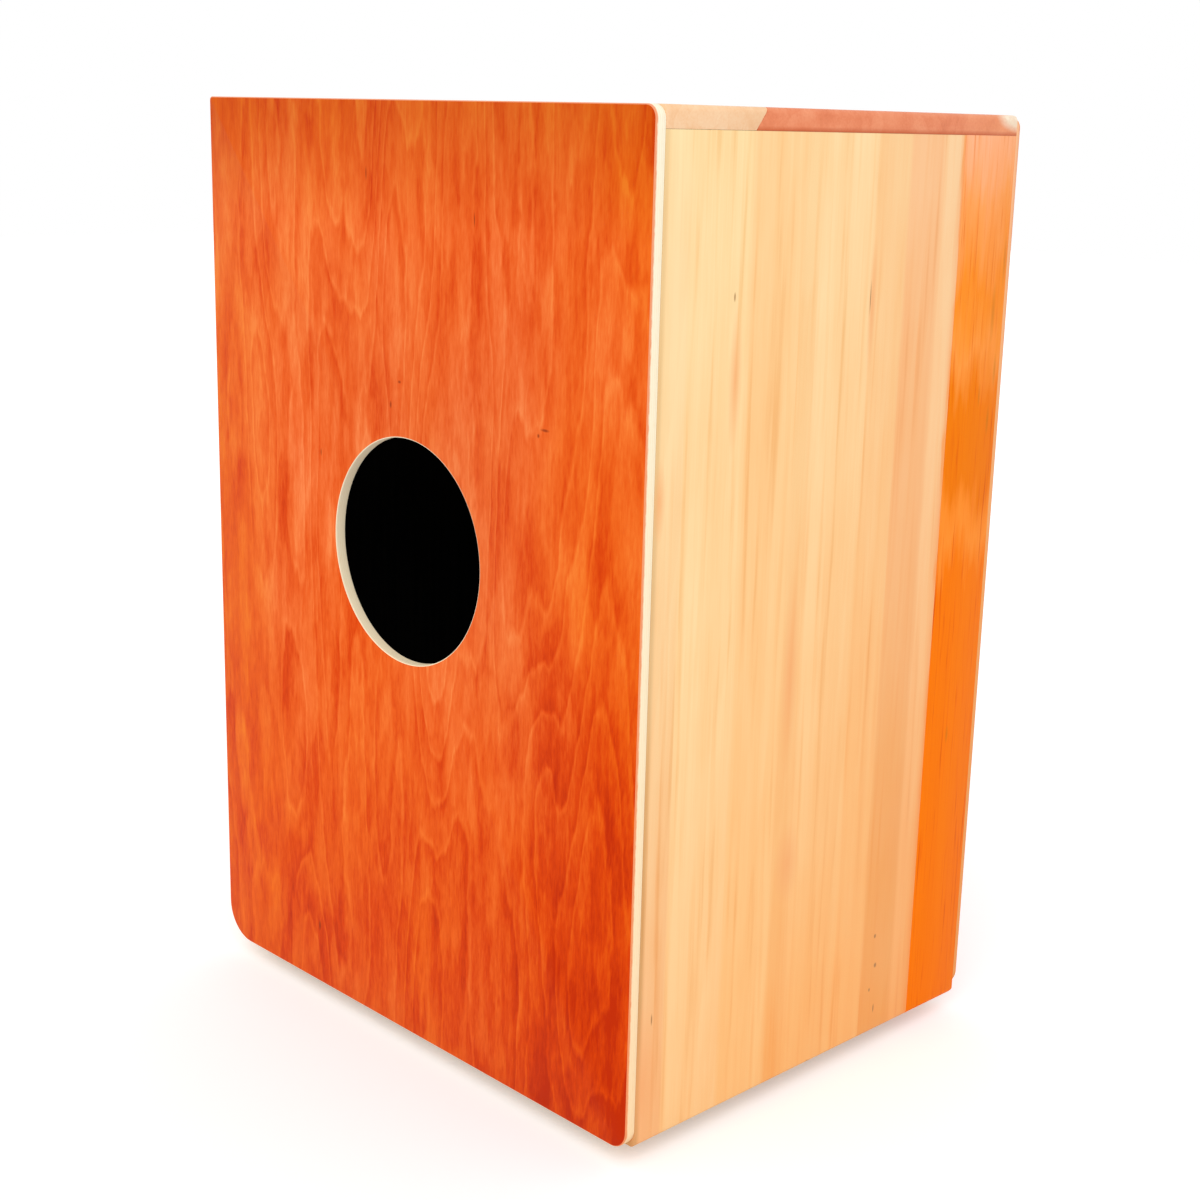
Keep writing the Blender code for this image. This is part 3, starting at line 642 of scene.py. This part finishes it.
def stained_ply(name, shift, marks=()):
    """Rotary-cut veneer under a transparent orange-red stain: tall flame figure in paler lines,
    drawn-out clouds where the stain took deeper, and fine dark pores along the grain. Painted
    shade darkens it towards the foot, the lower corner by the sitter's right side, both side edges
    and the top."""
    material, tree, shader = new_material(name, roughness=0.45, specular_ior_level=0.04)
    spot = where(tree)
    wobble = grain(tree, "Z", 6, 24, 2, shift + 1)
    slow = grain(tree, "Z", 50, 300, 1, shift)
    slow = blend_sum(tree, (slow, 1.0), (wobble, 0.045))
    flame = rings(tree, slow, 13, [(0.0, 0.0), (0.14, 0.5), (0.55, 0.6), (0.88, 1.0), (1.0, 0.0)])
    clouds = grain(tree, "Z", 17, 64, 3, shift + 2)
    patches = add_node(tree, "ShaderNodeMapRange", {
        "Value": grain(tree, "Z", 9, 40, 3, shift + 6), "From Min": 0.47, "From Max": 0.55})
    strokes = grain(tree, "Z", 3.2, 30, 2, shift + 3)
    pores = grain(tree, "Z", 0.9, 5, 2, shift + 4)
    drunk = add_node(tree, "ShaderNodeMapRange", {
        "Value": grain(tree, "Z", 70, 170, 2, shift + 5), "From Min": 0.30, "From Max": 0.66})
    # Painted shade: the veneer darkens towards the foot, and most in the lower corner by the sitter's
    # right side.
    low = add_node(tree, "ShaderNodeMapRange", {
        "Value": spot["Z"], "From Min": 0.30, "From Max": 0.04})
    edge = add_node(tree, "ShaderNodeMapRange", {
        "Value": spot["X"], "From Min": -0.04, "From Max": -0.16})
    corner = add_node(tree, "ShaderNodeMath", {0: low, 1: edge}, operation="MULTIPLY")
    # Painted shade: the top band is darker and duller.
    top = add_node(tree, "ShaderNodeMapRange", {
        "Value": spot["Z"], "From Min": 0.43, "From Max": 0.485})
    shade = blend_sum(tree, (flame, 0.11), (clouds, 0.36), (patches, 0.055), (strokes, 0.15),
                      (pores, 0.17), (corner, 0.14), (low, 0.08))
    tone = add_node(tree, "ShaderNodeValToRGB", {"Fac": shade}, [
        (0.30, "F9884F"), (0.39, "F37339"), (0.47, "EB6124"), (0.56, "DD470A"), (0.66, "C43000")])
    # The colour deepens in the stain's own clouds, and as painted shade towards both side edges, the
    # foot and the top.
    off_centre = add_node(tree, "ShaderNodeMath", {0: spot["X"]}, operation="ABSOLUTE")
    sides = add_node(tree, "ShaderNodeMapRange", {
        "Value": off_centre, "From Min": 0.09, "From Max": 0.16})
    stain_and_painted_shade = blend_sum(tree, (drunk, 0.50), (sides, 0.50), (low, 0.50), (top, 0.40))
    deep_stain_and_shade = add_node(tree, "ShaderNodeVectorMath", {
        0: tone, 1: (0.98, 0.90, 0.22)}, operation="MULTIPLY")
    tone = add_node(tree, "ShaderNodeMix", {"Factor": stain_and_painted_shade, "A": tone, "B": deep_stain_and_shade}, data_type="RGBA")
    painted_shade_top = add_node(tree, "ShaderNodeVectorMath", {
        0: tone, 1: (0.80, 0.74, 0.55)}, operation="MULTIPLY")
    tone = add_node(tree, "ShaderNodeMix", {"Factor": top, "A": tone, "B": painted_shade_top}, data_type="RGBA")
    if marks:
        tone = spotted(tree, tone, marks, "X", BOX_HIGH.y, 0.3, 0.8, linear("8E3210"))
    lay_finish(tree, shader, tone, blend_sum(tree, (pores, -0.6), (strokes, -0.4)), 0.15)
    return material


def ply_edge(name, face_y, inwards, thickness, plies, stops):
    """The sanded edge of plywood: pale plies with thin glue lines between them, and a little of
    the face's stain over its outer arris. The hole was cut later, so its wall is clean. The stops
    give the tone from the foot to the top, paler towards the top in painted light."""
    material, tree, shader = new_material(name, roughness=0.6, specular_ior_level=0.1)
    spot = where(tree)
    depth = add_node(tree, "ShaderNodeMapRange", {
        "Value": spot["Y"], "From Min": face_y, "From Max": face_y + inwards * thickness,
        "To Max": plies})
    within = add_node(tree, "ShaderNodeMath", {0: depth}, operation="FRACT")
    glue = add_node(tree, "ShaderNodeValToRGB", {"Fac": within}, [
        (0.0, 1.0), (0.10, 0.0), (0.90, 0.0), (1.0, 1.0)])
    half = add_node(tree, "ShaderNodeMath", {0: depth, 1: 2.0}, operation="MODULO")
    cross = add_node(tree, "ShaderNodeMath", {0: half, 1: 1.0}, operation="GREATER_THAN")
    fibre = grain(tree, "Z", 1.2, 4, 3)
    # Painted light: the tone is paler towards the top.
    height = add_node(tree, "ShaderNodeMath", {0: spot["Z"], 1: BOX_HIGH.z}, operation="DIVIDE")
    tone = add_node(tree, "ShaderNodeValToRGB", {"Fac": height}, stops)
    shade = blend_sum(tree, (glue, 0.25), (cross, 0.08), (fibre, 0.25))
    tone = tinted(tree, tone, shade, [(0.2, "FFFFFF"), (0.45, "F6E6D0"), (0.8, "C8A078")])
    place = add_node(tree, "ShaderNodeTexCoord").outputs["Object"]
    centre = (0, face_y, BOX_LOW.z + SOUND_HOLE_HEIGHT)
    reach = add_node(tree, "ShaderNodeVectorMath", {0: place, 1: centre}, operation="DISTANCE")
    outer = add_node(tree, "ShaderNodeMath", {0: reach, 1: HOLE_SURROUND}, operation="GREATER_THAN")
    ragged = add_node(tree, "ShaderNodeMath", {0: fibre, 1: 1.2, 2: depth}, operation="MULTIPLY_ADD")
    bleed = add_node(tree, "ShaderNodeMapRange", {
        "Value": ragged, "From Min": 1.1, "From Max": 1.7, "To Min": 0.8, "To Max": 0.0})
    bleed = add_node(tree, "ShaderNodeMath", {0: bleed, 1: outer}, operation="MULTIPLY")
    tone = add_node(tree, "ShaderNodeMix", {
        "Factor": bleed, "A": tone, "B": linear("EC7A3A")}, data_type="RGBA")
    lay_finish(tree, shader, tone, shade, 0.1)
    return material


low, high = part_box("back_panel")
thickness = high.y - low.y
middle = (low + high) / 2
back_ply = stained_ply("orange_red_stained_veneer", 0.0, BACK_MARKS)
back_edge = ply_edge("sanded_pale_ply_edge", BOX_HIGH.y, -1, thickness, 5,
                     [(0.0, "FFDDAE"), (0.5, "FFEECB"), (1.0, "FFF6DC")])
widened = ARRIS_MIDDLE * BOARD_EASED
radii = [(0, SOUND_HOLE_RADIUS + BOARD_EASED), (widened, SOUND_HOLE_RADIUS + widened),
         (BOARD_EASED, SOUND_HOLE_RADIUS), (thickness - BOARD_EASED, SOUND_HOLE_RADIUS),
         (thickness, SOUND_HOLE_RADIUS + BOARD_EASED)]
hole_centre = (0, BOX_LOW.z + SOUND_HOLE_HEIGHT - middle.z)
mirrored = {(-x, z): radius for (x, z), radius in PANEL_CORNERS.items()}
shape = drilled_board((high.x - low.x, high.z - low.z), mirrored, thickness, [(hole_centre, radii)],
                      BOARD_EASED, SOUND_HOLE_SIDES)
stand(shape, (middle.x, high.y, middle.z), (-1, 0, 0), (0, 0, 1), (0, -1, 0))
finish_piece("stained_back", shape, [back_ply, back_edge, painted_shade_inside], "box", "stained_plywood",
             "back_panel")

# ------------------------------------------------------------
# The playing face: 3 mm plywood with the same stain, sanded to the box's outline after it is
# screwed on, with a countersunk hole for each screw.

COUNTERSINK = 0.0020
SCREW_BORE = 0.00205
SCREW_HOLE_SIDES = 32


def countersunk(place, head_width, thickness):
    """A screw hole whose mouth takes the head: its place, and its radius at each depth."""
    mouth = head_width / 2 + CAD_GAP
    return place, [(0, mouth), (COUNTERSINK, SCREW_BORE), (thickness, SCREW_BORE)]


low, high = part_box("front_plate")
thickness = high.y - low.y
middle = (low + high) / 2
plate_ply = stained_ply("stained_playing_face", 40.0)
plate_edge = ply_edge("sanded_plate_edge", BOX_LOW.y, 1, thickness, 3,
                      [(0.0, "E99E5C"), (0.5, "EFA868"), (1.0, "F6BC90")])
holes = []
for name in sorted(frame["nodes"]):
    if name.startswith("plate_screw"):
        head_low, head_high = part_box(name)
        centre = (head_low + head_high) / 2 - middle
        holes.append(countersunk((centre.x, centre.z), head_high.x - head_low.x, thickness))
shape = drilled_board((high.x - low.x, high.z - low.z), PANEL_CORNERS, thickness, holes,
                      BOARD_EASED, SCREW_HOLE_SIDES)
stand(shape, (middle.x, low.y, middle.z), (1, 0, 0), (0, 0, 1), (0, 1, 0))
for signs, radius in BOX_EDGES_ALONG_X.items():
    if signs[0] < 0:
        round_over(shape, 0, signs, radius, 1)
finish_piece("playing_face", shape, [plate_ply, plate_edge, painted_shade_inside], "box", "plate_plywood",
             "front_plate")

# ------------------------------------------------------------
# Zinc-plated steel screws: countersunk wood screws round the playing face and through the snare
# blocks, pan heads under the feet and on the snare plates. Each has a cross recess.

# Head height, shank radius and whether the head is countersunk; the rest is the node's own size
WOOD_SCREW = (COUNTERSINK, 0.00175, True)
FOOT_SCREW = (0.0024, 0.00175, False)
HEAD_LAND = 0.0003
HEAD_EASED = 0.0001
HEAD_TURNS = [math.radians(angle) for angle in (60, 45, 30, 15, 0)]
SCREW_SIDES = 24
THREAD_PITCH = 0.0011
THREAD_DEPTH = 0.00025
POINT_LENGTH = 0.002
RECESS_REACH = 0.62
RECESS_WIDTH = 0.0009
RECESS_DEPTH = 0.0011


def plated_steel(name, tone, roughness, brushed_mm):
    """Plated steel: a soft metal shine, broken up by the drawing marks under the plating."""
    material, tree, shader = new_material(name, metallic=1.0)
    marks = grain(tree, "X", brushed_mm, brushed_mm * 12, 2)
    colour = add_node(tree, "ShaderNodeValToRGB", {"Fac": marks}, [(0.3, tone[0]), (0.7, tone[1])])
    rough = add_node(tree, "ShaderNodeMapRange", {
        "Value": marks, "To Min": roughness - 0.1, "To Max": roughness + 0.1})
    tree.links.new(rough.outputs[0], shader.inputs["Roughness"])
    lay_finish(tree, shader, colour, marks, 0.01)
    return material


def turned(profile, closed, steps, axis="Z"):
    """A shape turned on a lathe round Z or X, from its radius at places along that axis."""
    shape = bmesh.new()
    points = [shape.verts.new((radius, 0, along) if axis == "Z" else (along, 0, radius))
              for radius, along in profile]
    nexts = points[1:] + points[:1] if closed else points[1:]
    edges = [shape.edges.new(pair) for pair in zip(points, nexts)]
    bmesh.ops.spin(shape, geom=points + edges, cent=(0, 0, 0), angle=math.tau, steps=steps,
                   axis=(0, 0, 1) if axis == "Z" else (1, 0, 0), use_merge=True)
    return shape


def cross_head_screw(head_radius, length, head_height, shank_radius, flat_head):
    """A screw with the top of its head at the origin and its point down -Z."""
    if flat_head:
        profile = [(head_radius - HEAD_EASED, 0), (head_radius, -HEAD_EASED),
                   (head_radius, -HEAD_LAND)]
    else:
        dome = head_height * 0.7
        profile = [(head_radius * (0.5 + 0.5 * math.cos(turn)), dome * (math.sin(turn) - 0.866))
                   for turn in HEAD_TURNS]
        profile.append((head_radius, -head_height))
    profile.append((shank_radius, -head_height))
    depth = -head_height - THREAD_PITCH
    while depth - THREAD_PITCH > POINT_LENGTH - length:
        profile.append((shank_radius, depth))
        profile.append((shank_radius - THREAD_DEPTH, depth - THREAD_PITCH / 2))
        depth -= THREAD_PITCH
    profile.append((shank_radius, depth))
    profile.append((0.0, -length))
    shape = turned(profile, False, SCREW_SIDES)
    bmesh.ops.remove_doubles(shape, verts=shape.verts, dist=1e-6)
    rim = [edge for edge in shape.edges if edge.is_boundary]
    reach = head_radius * RECESS_REACH
    squares = bmesh.ops.create_grid(shape, x_segments=3, y_segments=3, size=reach)["verts"]
    for vert in squares:
        for axis in (0, 1):
            if abs(vert.co[axis]) < reach * 0.9:
                vert.co[axis] = math.copysign(min(RECESS_WIDTH / 2, reach / 3), vert.co[axis])
    cross = {face for vert in squares for face in vert.link_faces}
    corners = [face for face in cross
               if min(abs(distance) for distance in face.calc_center_median()[:2]) > reach / 4]
    cross -= set(corners)
    bmesh.ops.delete(shape, geom=corners, context="FACES")
    mouth = [edge for edge in shape.edges if edge.is_boundary and edge not in rim]
    sunk = bmesh.ops.extrude_face_region(shape, geom=list(cross))["geom"]
    bmesh.ops.delete(shape, geom=list(cross), context="FACES_ONLY")
    bottom = [item for item in sunk if isinstance(item, bmesh.types.BMVert)]
    bmesh.ops.translate(shape, vec=(0, 0, -min(RECESS_DEPTH, head_height * 0.7)), verts=bottom)
    bmesh.ops.scale(shape, vec=(0.8, 0.8, 1), verts=bottom)
    bmesh.ops.triangle_fill(shape, use_beauty=True, edges=rim + mouth, normal=(0, 0, 1))
    bmesh.ops.recalc_face_normals(shape, faces=shape.faces)
    return shape


def drive_screw(node, kind, head, direction, body="box", sizes=None):
    """Put a screw where the frame has one, its head at a place and its point along a direction.
    Its head's radius and its length are the node's, or are given for a screw that leans."""
    low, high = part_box(node)
    extent = sorted(high - low)
    shape = cross_head_screw(*(sizes or (extent[0] / 2, extent[2])), *kind)
    turn = (-Vector(direction)).to_track_quat("Z", "Y").to_matrix().to_4x4()
    bmesh.ops.transform(shape, matrix=Matrix.Translation(head) @ turn, verts=shape.verts)
    finish_piece(f"cross_head_{node}", shape, [zinc_steel], body, "zinc_steel", node)


zinc_steel = plated_steel("zinc_plated_screw_steel", ("B5B0A2", "D2CDBE"), 0.35, 0.3)
for name in sorted(frame["nodes"]):
    low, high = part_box(name)
    middle = (low + high) / 2
    if name.startswith("plate_screw"):
        drive_screw(name, WOOD_SCREW, (middle.x, low.y, middle.z), (0, 1, 0))
    if name.startswith("foot_screw"):
        drive_screw(name, FOOT_SCREW, (middle.x, middle.y, low.z), (0, 0, 1))
    if name.startswith("block_screw"):
        sign = math.copysign(1, middle.x)
        head_x = low.x if sign > 0 else high.x
        drive_screw(name, WOOD_SCREW, (head_x, middle.y, middle.z), (sign, 0, 0))

# ------------------------------------------------------------
# Four feet of moulded black rubber, each screwed up into the bottom board from a well in its base,
# which hides the screw's head.

FOOT_BASE_RADIUS = 0.0110
FOOT_WELL_RADIUS = 0.0055
FOOT_WELL_DEPTH = 0.005
# A shallow ring moulded into the base: its outer and inner radius, and its depth
FOOT_RING = (0.0092, 0.0080, 0.0005)
TURNED_SIDES = 64


def moulded_rubber():
    """Black rubber as it leaves the mould: dead matt, a little dusty, with a fine even grain."""
    material, tree, shader = new_material("moulded_black_rubber", roughness=0.8,
                                          specular_ior_level=0.3)
    dust = grain(tree, "Z", 4, 4, 3)
    speck = grain(tree, "Z", 0.5, 0.5, 1)
    tone = add_node(tree, "ShaderNodeValToRGB", {"Fac": dust}, [(0.35, "151515"), (0.7, "2A2928")])
    lay_finish(tree, shader, tone, speck, 0.05)
    return material


rubber = moulded_rubber()
for name in sorted(frame["nodes"]):
    if name.startswith("foot_") and "screw" not in name:
        low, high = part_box(name)
        middle = (low + high) / 2
        radius = (high.x - low.x) / 2
        top = high.z
        outer, inner, sunk = FOOT_RING
        profile = [
            (SCREW_BORE, top), (radius - 0.0005, top), (radius - 0.0001, top - 0.0002),
            (radius, top - 0.0006), (radius - 0.0002, top - 0.0022),
            (FOOT_BASE_RADIUS + 0.0002, 0.0016), (FOOT_BASE_RADIUS - 0.0001, 0.0006),
            (FOOT_BASE_RADIUS - 0.0008, 0), (outer, 0), (outer - 0.0003, sunk),
            (inner + 0.0003, sunk), (inner, 0), (FOOT_WELL_RADIUS + 0.0005, 0),
            (FOOT_WELL_RADIUS, 0.0004), (FOOT_WELL_RADIUS, FOOT_WELL_DEPTH),
            (SCREW_BORE, FOOT_WELL_DEPTH),
        ]
        shape = turned(profile, True, TURNED_SIDES)
        bmesh.ops.recalc_face_normals(shape, faces=shape.faces)
        bmesh.ops.translate(shape, vec=(middle.x, middle.y, 0), verts=shape.verts)
        finish_piece(f"rubber_{name}", shape, [rubber], "box", "rubber", name)

# ------------------------------------------------------------
# The bearings of the snare bar: a beech block screwed to the inside of each front stave, bored
# for a felt bush that holds the bar by friction.

BLOCK_CORNERS = {(x, z): 0.003 for z in (1, -1) for x in (1, -1)}
BLOCK_BORE_SIDES = 48
BUSH_BORE = 0.0103
FELT_WORN = 0.0004


def bare_beech(name, along):
    """Beech, planed and sanded: even and pinkish, with short dark ray flecks along the grain."""
    material, tree, shader = new_material(name, roughness=0.5, specular_ior_level=0.3)
    flecks = add_node(tree, "ShaderNodeMapRange", {
        "Value": grain(tree, along, 0.7, 3.5, 1, 5.0), "From Min": 0.60, "From Max": 0.72})
    clouds = grain(tree, along, 9, 60, 2)
    fibre = grain(tree, along, 0.5, 14, 2)
    shade = blend_sum(tree, (flecks, 0.35), (clouds, 0.5), (fibre, 0.3))
    tone = add_node(tree, "ShaderNodeValToRGB", {"Fac": shade}, [
        (0.25, "E8C39B"), (0.5, "DDB185"), (0.9, "A87348")])
    lay_finish(tree, shader, tone, shade, 0.05)
    return material


def wool_felt():
    """Pressed wool felt: grey-green, with no shine and a fuzzy nap of crossing fibres."""
    material, tree, shader = new_material("pressed_wool_felt", roughness=1.0, specular_ior_level=0.1,
                                          sheen_weight=0.4, sheen_roughness=0.6)
    nap = blend_sum(tree, (grain(tree, "X", 0.5, 2.5, 3), 0.5), (grain(tree, "Z", 0.5, 2.5, 3), 0.5))
    tone = add_node(tree, "ShaderNodeValToRGB", {"Fac": nap}, [(0.35, "2C302C"), (0.65, "525850")])
    lay_finish(tree, shader, tone, nap, 0.3)
    return material


block_beech = bare_beech("sanded_beech_block", "Z")
felt = wool_felt()
for hand, sign in (("left", 1), ("right", -1)):
    low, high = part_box(f"snare_block_{hand}")
    middle = (low + high) / 2
    thickness = high.x - low.x
    bush_low, bush_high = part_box(f"felt_bush_{hand}")
    bush_radius = (bush_high.y - bush_low.y) / 2
    holes = [((0, 0), [(0, bush_radius + FELT_WORN), (FELT_WORN, bush_radius),
                       (thickness, bush_radius)])]
    for level in ("top", "bottom"):
        screw_low, screw_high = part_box(f"block_screw_{hand}_{level}")
        offset = (screw_low.z + screw_high.z) / 2 - middle.z
        holes.append(countersunk((0, offset), screw_high.z - screw_low.z, thickness))
    shape = drilled_board((high.y - low.y, high.z - low.z), BLOCK_CORNERS, thickness, holes,
                          BOARD_EASED, BLOCK_BORE_SIDES)
    inner_x = low.x if sign > 0 else high.x
    stand(shape, (inner_x, middle.y, middle.z), (0, sign, 0), (0, 0, 1), (sign, 0, 0))
    finish_piece(f"{hand}_beech_block", shape, [block_beech], "box", "beech", f"snare_block_{hand}")

    half = (bush_high.x - bush_low.x) / 2
    profile = [
        (BUSH_BORE, FELT_WORN - half), (BUSH_BORE + FELT_WORN, -half),
        (bush_radius - FELT_WORN, -half), (bush_radius, FELT_WORN - half),
        (bush_radius, half - FELT_WORN), (bush_radius - FELT_WORN, half),
        (BUSH_BORE + FELT_WORN, half), (BUSH_BORE, half - FELT_WORN),
    ]
    shape = turned(profile, True, TURNED_SIDES, "X")
    bmesh.ops.recalc_face_normals(shape, faces=shape.faces)
    bmesh.ops.translate(shape, vec=(bush_low + bush_high) / 2, verts=shape.verts)
    finish_piece(f"{hand}_felt_bush", shape, [felt], "box", "felt", f"felt_bush_{hand}")

# ------------------------------------------------------------
# The snare bar: a beech dowel that turns by hand in the two bushes. A flat milled along its front
# carries the snare strips, and turning it swings them off the playing face.

BAR_EASED = 0.0006
BAR_FLAT_DEPTH = 0.002
BAR_FLAT_INSET = 0.020
CUTTER_STEP = 0.0015
BAR_SIDES = 96
# How far in front of the lower snare plate's middle the upper one's lies, square to the strip
PLATE_OFFSET = 0.0005

# The strips lean, so that their tips meet the playing face: the bar is made upright and turned
hinge = Vector(frame["joints"][0]["pos_m"])
anchor_low, anchor_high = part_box("anchor_plate_left")
end_low, end_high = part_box("end_plate_left")
rise = (end_low + end_high) / 2 - (anchor_low + anchor_high) / 2
strip_lean = math.atan2(-rise.y, rise.z) - math.atan2(PLATE_OFFSET, rise.z)
lean = Matrix.Translation(hinge) @ Matrix.Rotation(strip_lean, 4, "X")
low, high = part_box("snare_bar")
half = (high.x - low.x) / 2
radius = (high.z - low.z) / 2
flat_y = BAR_FLAT_DEPTH - radius
flat_x = half - BAR_FLAT_INSET
shape = bmesh.new()
bmesh.ops.create_cone(shape, cap_ends=True, segments=BAR_SIDES, radius1=radius, radius2=radius,
                      depth=half * 2, matrix=Matrix.Rotation(math.pi / 2, 4, "Y"))
ease_edges(shape, BAR_EASED)
cuts = [((x, 0, 0), (1, 0, 0)) for x in
        (-flat_x, CUTTER_STEP - flat_x, flat_x - CUTTER_STEP, flat_x)]
for place, normal in cuts + [((0, flat_y, 0), (0, 1, 0))]:
    everything = shape.verts[:] + shape.edges[:] + shape.faces[:]
    bmesh.ops.bisect_plane(shape, geom=everything, plane_co=place, plane_no=normal, dist=1e-7)
for vert in shape.verts:
    if abs(vert.co.x) < flat_x - CUTTER_STEP / 2 and vert.co.y < flat_y:
        vert.co.y = flat_y
bmesh.ops.transform(shape, matrix=lean, verts=shape.verts)
finish_piece("snare_bar_dowel", shape, [bare_beech("sanded_beech_dowel", "X")], "snare", "beech",
             "snare_bar")

# ------------------------------------------------------------
# The snare strips: each is twenty wire coils between two nickel-plated plates. The lower plate is
# screwed to the bar's flat, and the upper one rests on the back of the playing face.

# The plates' screws: head height, shank radius and a pan head; then head radius and length
ANCHOR_SCREW = (0.0014, 0.00125, False)
ANCHOR_SCREW_SIZES = (0.0025, 0.0074)
ANCHOR_SCREW_SPACING = 0.040
ANCHOR_BORE = 0.00155
ANCHOR_BORE_SIDES = 24
PLATE_THICKNESS = 0.001
PLATE_EASED = 0.0002
PLATE_CORNERS = {(x, z): 0.001 for z in (1, -1) for x in (1, -1)}
ANCHOR_HEIGHT = 0.012
END_HEIGHT = 0.008
STRIP_WIDTH = 0.060
COILS = 20
COIL_RADIUS = 0.001
WIRE_RADIUS = 0.0002
WIRE_LENGTH = 0.100
TURNS = 60
STEPS_A_TURN = 8
seat_y = flat_y - CAD_GAP
wire_y = seat_y - COIL_RADIUS
head_y = seat_y - PLATE_THICKNESS - CAD_GAP - ANCHOR_SCREW[0]
wire_low = ANCHOR_HEIGHT / 2 + CAD_GAP
end_middle = wire_low + WIRE_LENGTH + CAD_GAP + END_HEIGHT / 2
bores = [((side * ANCHOR_SCREW_SPACING / 2, 0), [(0, ANCHOR_BORE), (PLATE_THICKNESS, ANCHOR_BORE)])
         for side in (-1, 1)]
plates = [
    ("lower_snare_plate", "anchor_plate", ANCHOR_HEIGHT, bores, seat_y, 0),
    ("upper_snare_plate", "end_plate", END_HEIGHT, [], wire_y + PLATE_THICKNESS / 2, end_middle),
]


def set_on_bar(shape, place):
    """Move a shape to its place on the upright bar, and lean it with the strips."""
    bmesh.ops.translate(shape, vec=place, verts=shape.verts)
    bmesh.ops.transform(shape, matrix=lean, verts=shape.verts)
    bmesh.ops.recalc_face_normals(shape, faces=shape.faces)


nickel = plated_steel("nickel_plated_snare_steel", ("C8C8CC", "E6E6E8"), 0.25, 0.25)
for hand in ("left", "right"):
    low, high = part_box(f"anchor_plate_{hand}")
    across = (low.x + high.x) / 2
    for name, node, height, holes, rear_y, middle_z in plates:
        shape = drilled_board((STRIP_WIDTH, height), PLATE_CORNERS, PLATE_THICKNESS, holes,
                              PLATE_EASED, ANCHOR_BORE_SIDES)
        bmesh.ops.rotate(shape, cent=(0, 0, 0), matrix=Matrix.Rotation(math.pi / 2, 3, "X"),
                         verts=shape.verts)
        set_on_bar(shape, (across, rear_y, middle_z))
        finish_piece(f"{hand}_{name}", shape, [nickel], "snare", "spring_steel", f"{node}_{hand}")

    shape = bmesh.new()
    wind = COIL_RADIUS - WIRE_RADIUS
    section = Matrix.Translation((wind, 0, 0)) @ Matrix.Rotation(math.pi / 2, 4, "X")
    made = bmesh.ops.create_circle(shape, cap_ends=False, segments=4, radius=WIRE_RADIUS,
                                   matrix=section)["verts"]
    rim = list({edge for vert in made for edge in vert.link_edges})
    wire_run = WIRE_LENGTH + 2 * CAD_GAP - 2 * WIRE_RADIUS
    steps = TURNS * STEPS_A_TURN
    bmesh.ops.spin(shape, geom=made + rim, cent=(0, 0, 0), axis=(0, 0, 1),
                   dvec=(0, 0, wire_run / steps), angle=math.tau * TURNS, steps=steps)
    bmesh.ops.holes_fill(shape, edges=[edge for edge in shape.edges if edge.is_boundary], sides=4)
    pitch = STRIP_WIDTH / COILS
    first = shape.verts[:] + shape.edges[:] + shape.faces[:]
    for count in range(1, COILS):
        copy = bmesh.ops.duplicate(shape, geom=first)["geom"]
        moved = [item for item in copy if isinstance(item, bmesh.types.BMVert)]
        bmesh.ops.translate(shape, vec=(count * pitch, 0, 0), verts=moved)
    first_x = across - STRIP_WIDTH / 2 + pitch / 2
    set_on_bar(shape, (first_x, wire_y, wire_low - CAD_GAP + WIRE_RADIUS))
    finish_piece(f"{hand}_snare_coils", shape, [nickel], "snare", "spring_steel",
                 f"snare_wires_{hand}")

    inwards = lean.to_3x3() @ Vector((0, 1, 0))
    for count, side in enumerate((-1, 1), 1):
        head = lean @ Vector((across + side * ANCHOR_SCREW_SPACING / 2, head_y, 0))
        drive_screw(f"anchor_screw_{hand}_{count}", ANCHOR_SCREW, head, inwards, "snare",
                    ANCHOR_SCREW_SIZES)
